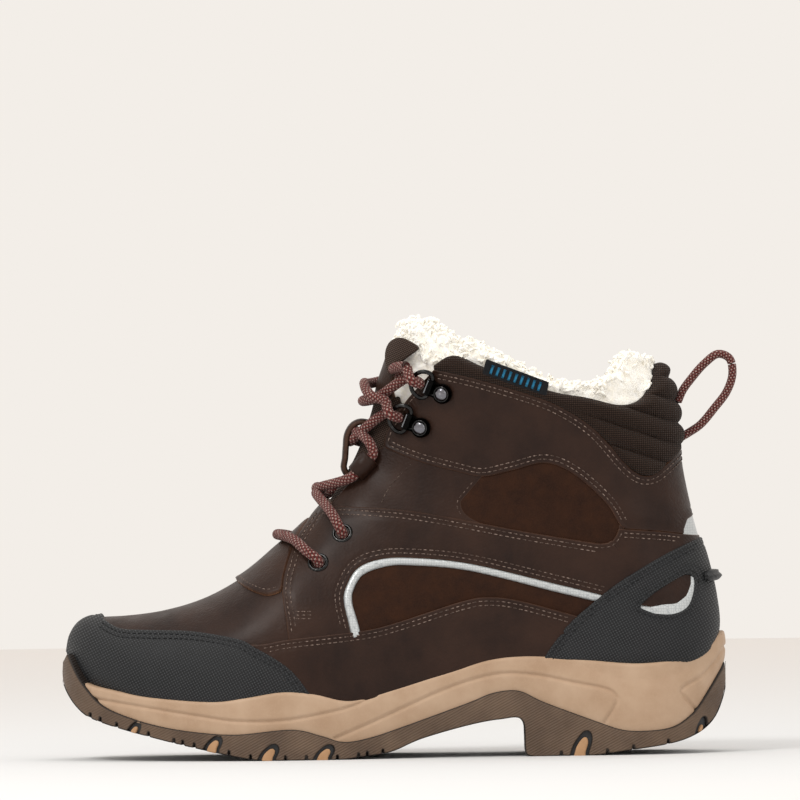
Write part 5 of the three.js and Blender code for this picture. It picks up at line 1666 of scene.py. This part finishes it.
def add_tunnel(name, side):
    """The leather loop on the throat that guides the lace: an arch with two feet."""
    inner, outer, foot = 2.65, 3.95, 0.45
    bend = np.linspace(0, math.pi, 15)
    arch = [[outer * math.cos(t), TUNNEL_RISE + outer * math.sin(t)] for t in bend]
    back = [[inner * math.cos(t), TUNNEL_RISE + inner * math.sin(t)] for t in bend[::-1]]
    section = np.array([[outer, foot], *arch, [-outer, foot], [-inner, foot], *back, [inner, foot]])
    lengths = np.array([-4.75, -4.5, 0, 4.5, 4.75])
    at_tip = np.abs(lengths) > 4.5
    draw_in = 0.12
    drawn_in = section * (1 - draw_in) + np.array([0, TUNNEL_RISE * 0.9]) * draw_in
    rows = [drawn_in if tip else section for tip in at_tip]
    points = np.concatenate([np.column_stack([np.full(len(row), u), row]) for u, row in zip(lengths, rows)])
    faces = grid_faces(len(lengths), len(section), closed=True)
    half = len(section) // 2
    low = np.array([[k, k + 1, len(section) - 2 - k, len(section) - 1 - k] for k in range(half - 1)])
    high = low[:, ::-1] + (len(lengths) - 1) * len(section)
    edges = np.repeat(np.where(at_tip, 0.05, 2.0), len(section))
    here = local_frame(TUNNEL, side, TUNNEL_DIRECTION)
    loop = mesh_object(f"lace_tunnel_{name}", in_frame(here, points), np.concatenate([faces, low, high]),
                       PAINTS["leather"], {"edge": edges})
    belongs(loop, "leather", f"lace_loop_{name}")


# x and z of the strap over the tongue and of the pull loop at the heel
KEEPER_LINE = [
    [-90.6, 120.8], [-92.2, 124], [-91.6, 128], [-91.2, 133], [-90.6, 138], [-88.4, 141.8], [-85, 143.4],
    [-80.2, 142.6],
]
LOOP_PATH = [
    [51.4, 150.4], [53.6, 155.2], [57.5, 160.4], [63, 166.5], [69, 170.6], [73.8, 168.6], [75, 162],
    [72.5, 154.5], [67, 147.3], [61, 140.4], [55.6, 136.8], [51.5, 134.4],
]


def ledge_steps(points, field):
    """The ribs that keep a spur's strap from slipping."""
    return 0.5 * np.cos((points[:, 2] - 74.6) * 2.1)


def add_straps():
    """The lace's tunnels and keeper, the loop, the tag and webbing, and the spur's ledge."""
    for name, side in SIDES.items():
        add_tunnel(name, side)
    add_keeper()
    add_pull_loop()
    in_tag = inside([[-30.6, 170.3], [-4.1, 160], [-5.3, 153.7], [-32.5, 163.4]])
    places = np.linspace(0.78, 1, 200)
    panel("side_tag_cloth", upper_patch("lateral", places), in_tag, 1.5, "tag_black", "tag", "side_tag",
          round_edge=0.35, bottom=0.7, closed=True)
    add_tag_bars()

    in_web = inside(spline([
        [-72.2, 163.5], [-73.2, 171.5], [-71.5, 177], [-67.6, 179.5], [-63.5, 178.4], [-59.2, 175.2],
        [-63, 172], [-66, 169.6], [-68.6, 166.3], [-70.4, 162.8], [-72.2, 163.5],
    ], 0.8))
    panel("tongue_webbing", upper_patch("lateral", places), in_web, 1.4, "webbing", "textile", "tongue_tab",
          round_edge=0.5, bottom=0.3, closed=True)

    shelf = inside([[60, 73], [78, 73], [78, 77.2], [60, 77.2]])
    panel("spur_ledge", "back", shelf, 5.0, "spur_rubber", "guard", "spur_rest", round_edge=1.4, bottom=1.9,
          swell=ledge_steps)


# ---------------- lace
def rings_round(path, across, normal, radius, sides, squash=1.0, braid=0.0):
    """Rings round a cord's path, squashed or with a braid's relief, and their places along and round it."""
    theta = np.linspace(0, 2 * math.pi, sides + 1)
    travelled = np.concatenate([[0], np.cumsum(np.linalg.norm(np.diff(path, axis=0), axis=1))])
    yarns = 1 + braid * np.cos(8 * theta[None, :] + travelled[:, None] * 3.0)
    ring = (np.cos(theta)[None, :, None] * across[:, None]
            + squash * np.sin(theta)[None, :, None] * normal[:, None])
    uv = np.stack(np.broadcast_arrays(travelled[:, None], theta[None, :] / (2 * math.pi)), -1)
    return path[:, None] + ring * (radius * yarns)[:, :, None], uv


def lace_rings(path):
    """Rings round the whole lace, with a frame that turns as little as it can."""
    tangent = unit(np.gradient(path, axis=0))
    normal = np.empty_like(path)
    normal[0] = unit(np.cross(tangent[0], [0.3, 0.2, 0.9]))
    for i in range(1, len(path)):
        normal[i] = unit(normal[i - 1] - tangent[i] * (normal[i - 1] @ tangent[i]))
    return rings_round(path, np.cross(tangent, normal), normal, LACE_DIAMETER / 2, 16, braid=0.035)


def cord_piece(name, rings, uv, tips):
    """A stretch of a cord, closed at its two tips."""
    rows, sides = rings.shape[0], rings.shape[1] - 1
    faces = grid_faces(rows, sides + 1)
    count = rows * (sides + 1)
    first = np.arange(sides)
    last = (rows - 1) * (sides + 1) + first
    triangles = capped(faces, fan(first, first + 1, count), fan(last + 1, last, count + 1))
    points = np.concatenate([rings.reshape(-1, 3), tips])
    uvs = np.concatenate([uv.reshape(-1, 2), uv[0, :1], uv[-1, :1]])
    return mesh_object(name, points, triangles, PAINTS["lace"], uv=uvs)


def add_pull_loop():
    """The heel's loop: a flattened cord with rounded ends in the back seam."""
    radius, ends = 2.4, [0, -1]
    path = through(np.array([[x, 0, z] for x, z in LOOP_PATH], float), 0.5)
    tangent = unit(np.gradient(path, axis=0))
    up = np.array([0.2, 0.0, -1.0])
    normal = unit(up - tangent * (tangent @ up)[:, None])
    rings, uv = rings_round(path, np.cross(tangent, normal), normal, radius, 20, squash=0.74)
    tips = path[ends] + tangent[ends] * radius * 0.35 * [[-1], [1]]
    belongs(cord_piece("pull_loop_cord", rings, uv, tips), "lace", "pull_loop", body="heel_loop")


def ring_frames():
    return {
        f"ring_{row}_{name}": local_frame(place, side, RING_DIRECTION)
        for name, side in SIDES.items() for row, place in enumerate(RIVETS, 1)
    }


RING_REACH = 17.6  # the lace counts as at a ring up to this far from its rivet


def body_along(path):
    """The body that each point of the lace belongs to."""
    bodies = np.full(len(path), BODY, dtype=object)
    for body, (origin, axes) in ring_frames().items():
        u, v, n = ((path - origin) @ axes.T).T
        # the space that the ring and the bend of the lace in it take up
        at_ring = (u > 2) & (u < RING_REACH) & (np.abs(v) < 8) & (n > -2) & (n < 10)
        bodies[at_ring] = body
    return bodies


def add_lace():
    """The lace in stretches: each one on the boot rides on it, and those at the rings are left as they are.
    """
    before = [point for stretch in strand(-1) for point in stretch][::-1]
    after = [point for stretch in strand(1) for point in stretch]
    path = through([*before, over_ridge(-118.6, 92.6, 0, 4.4), *after], 0.55)
    rings, uv = lace_rings(path)
    bodies = body_along(path)
    starts = np.concatenate([[0], np.nonzero(bodies[1:] != bodies[:-1])[0] + 1, [len(path)]])
    for count, (low, high) in enumerate(zip(starts[:-1], starts[1:])):
        body = bodies[low]
        stretch = slice(low, min(high + 1, len(path)))
        piece = cord_piece(f"lace_run_{count:02d}", rings[stretch], uv[stretch], path[stretch][[0, -1]])
        if count == 0:
            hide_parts("lace")
        if body == BODY:
            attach(piece, BODY)
        else:
            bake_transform(piece)


def add_tails():
    """The two free ends with their aglets, the soft cords of this part."""
    for name, side in SIDES.items():
        path = through(tail(side), 0.8)
        rings, uv = lace_rings(path)
        end = cord_piece(f"lace_end_{name}", rings, uv, path[[0, -1]])
        tip = path[-1]
        tube, faces = lathe([
            [0.01, -AGLET], [1.6, -AGLET], [2.1, -AGLET + 0.5], [2.2, -AGLET + 2], [2.2, -1], [2.1, -0.3],
            [0.01, -0.3],
        ], 24)
        cap = mesh_object(f"aglet_tip_{name}", tube + tip, faces, PAINTS["aglet"])
        belongs(cap, "plastic", f"aglet_{name}")
        belongs(end, "lace", f"lace_tail_{name}")


# ---------------- hidden parts
def add_footbed():
    """The footbed's cloth, on the surface inside the upper."""
    depth, first_angle = 11.4, 1.9

    def locate(place, angle):
        return surface(place, angle, depth)

    angles = np.linspace(first_angle, 2 * math.pi - first_angle, 90)
    patch = Patch(np.linspace(0.17, 0.7, 150), angles, locate, normal_at)
    line = np.stack([SECTIONS[:16, 2], SECTIONS[:16, 3]], -1)
    below = inside(spline(moved(line, 0, 15.6)), [[90, 60], [90, -5], [-230, -5], [-230, 50]])
    sole = panel("footbed_cover", patch, below, -0.3, "fleece_flat", "textile", "footbed", round_edge=1.0,
                 bottom=-3.8, closed=True)


def paint_hidden():
    """The CAD parts that stay as they are, inside the boot, get real finishes."""
    finishes = {
        "shank": "steel", "toe_puff": "board", "insole_board": "board", "heel_stiffener": "heel_board",
        "bootie": "membrane",
    }
    for node, paint in finishes.items():
        obj = bpy.data.objects[node]
        obj.data.materials.clear()
        obj.data.materials.append(PAINTS[paint])


add_upper()
add_seams()
add_sole()
add_linings()
add_tongue()
add_fittings()
add_straps()
add_lace()
add_tails()
add_footbed()
paint_hidden()
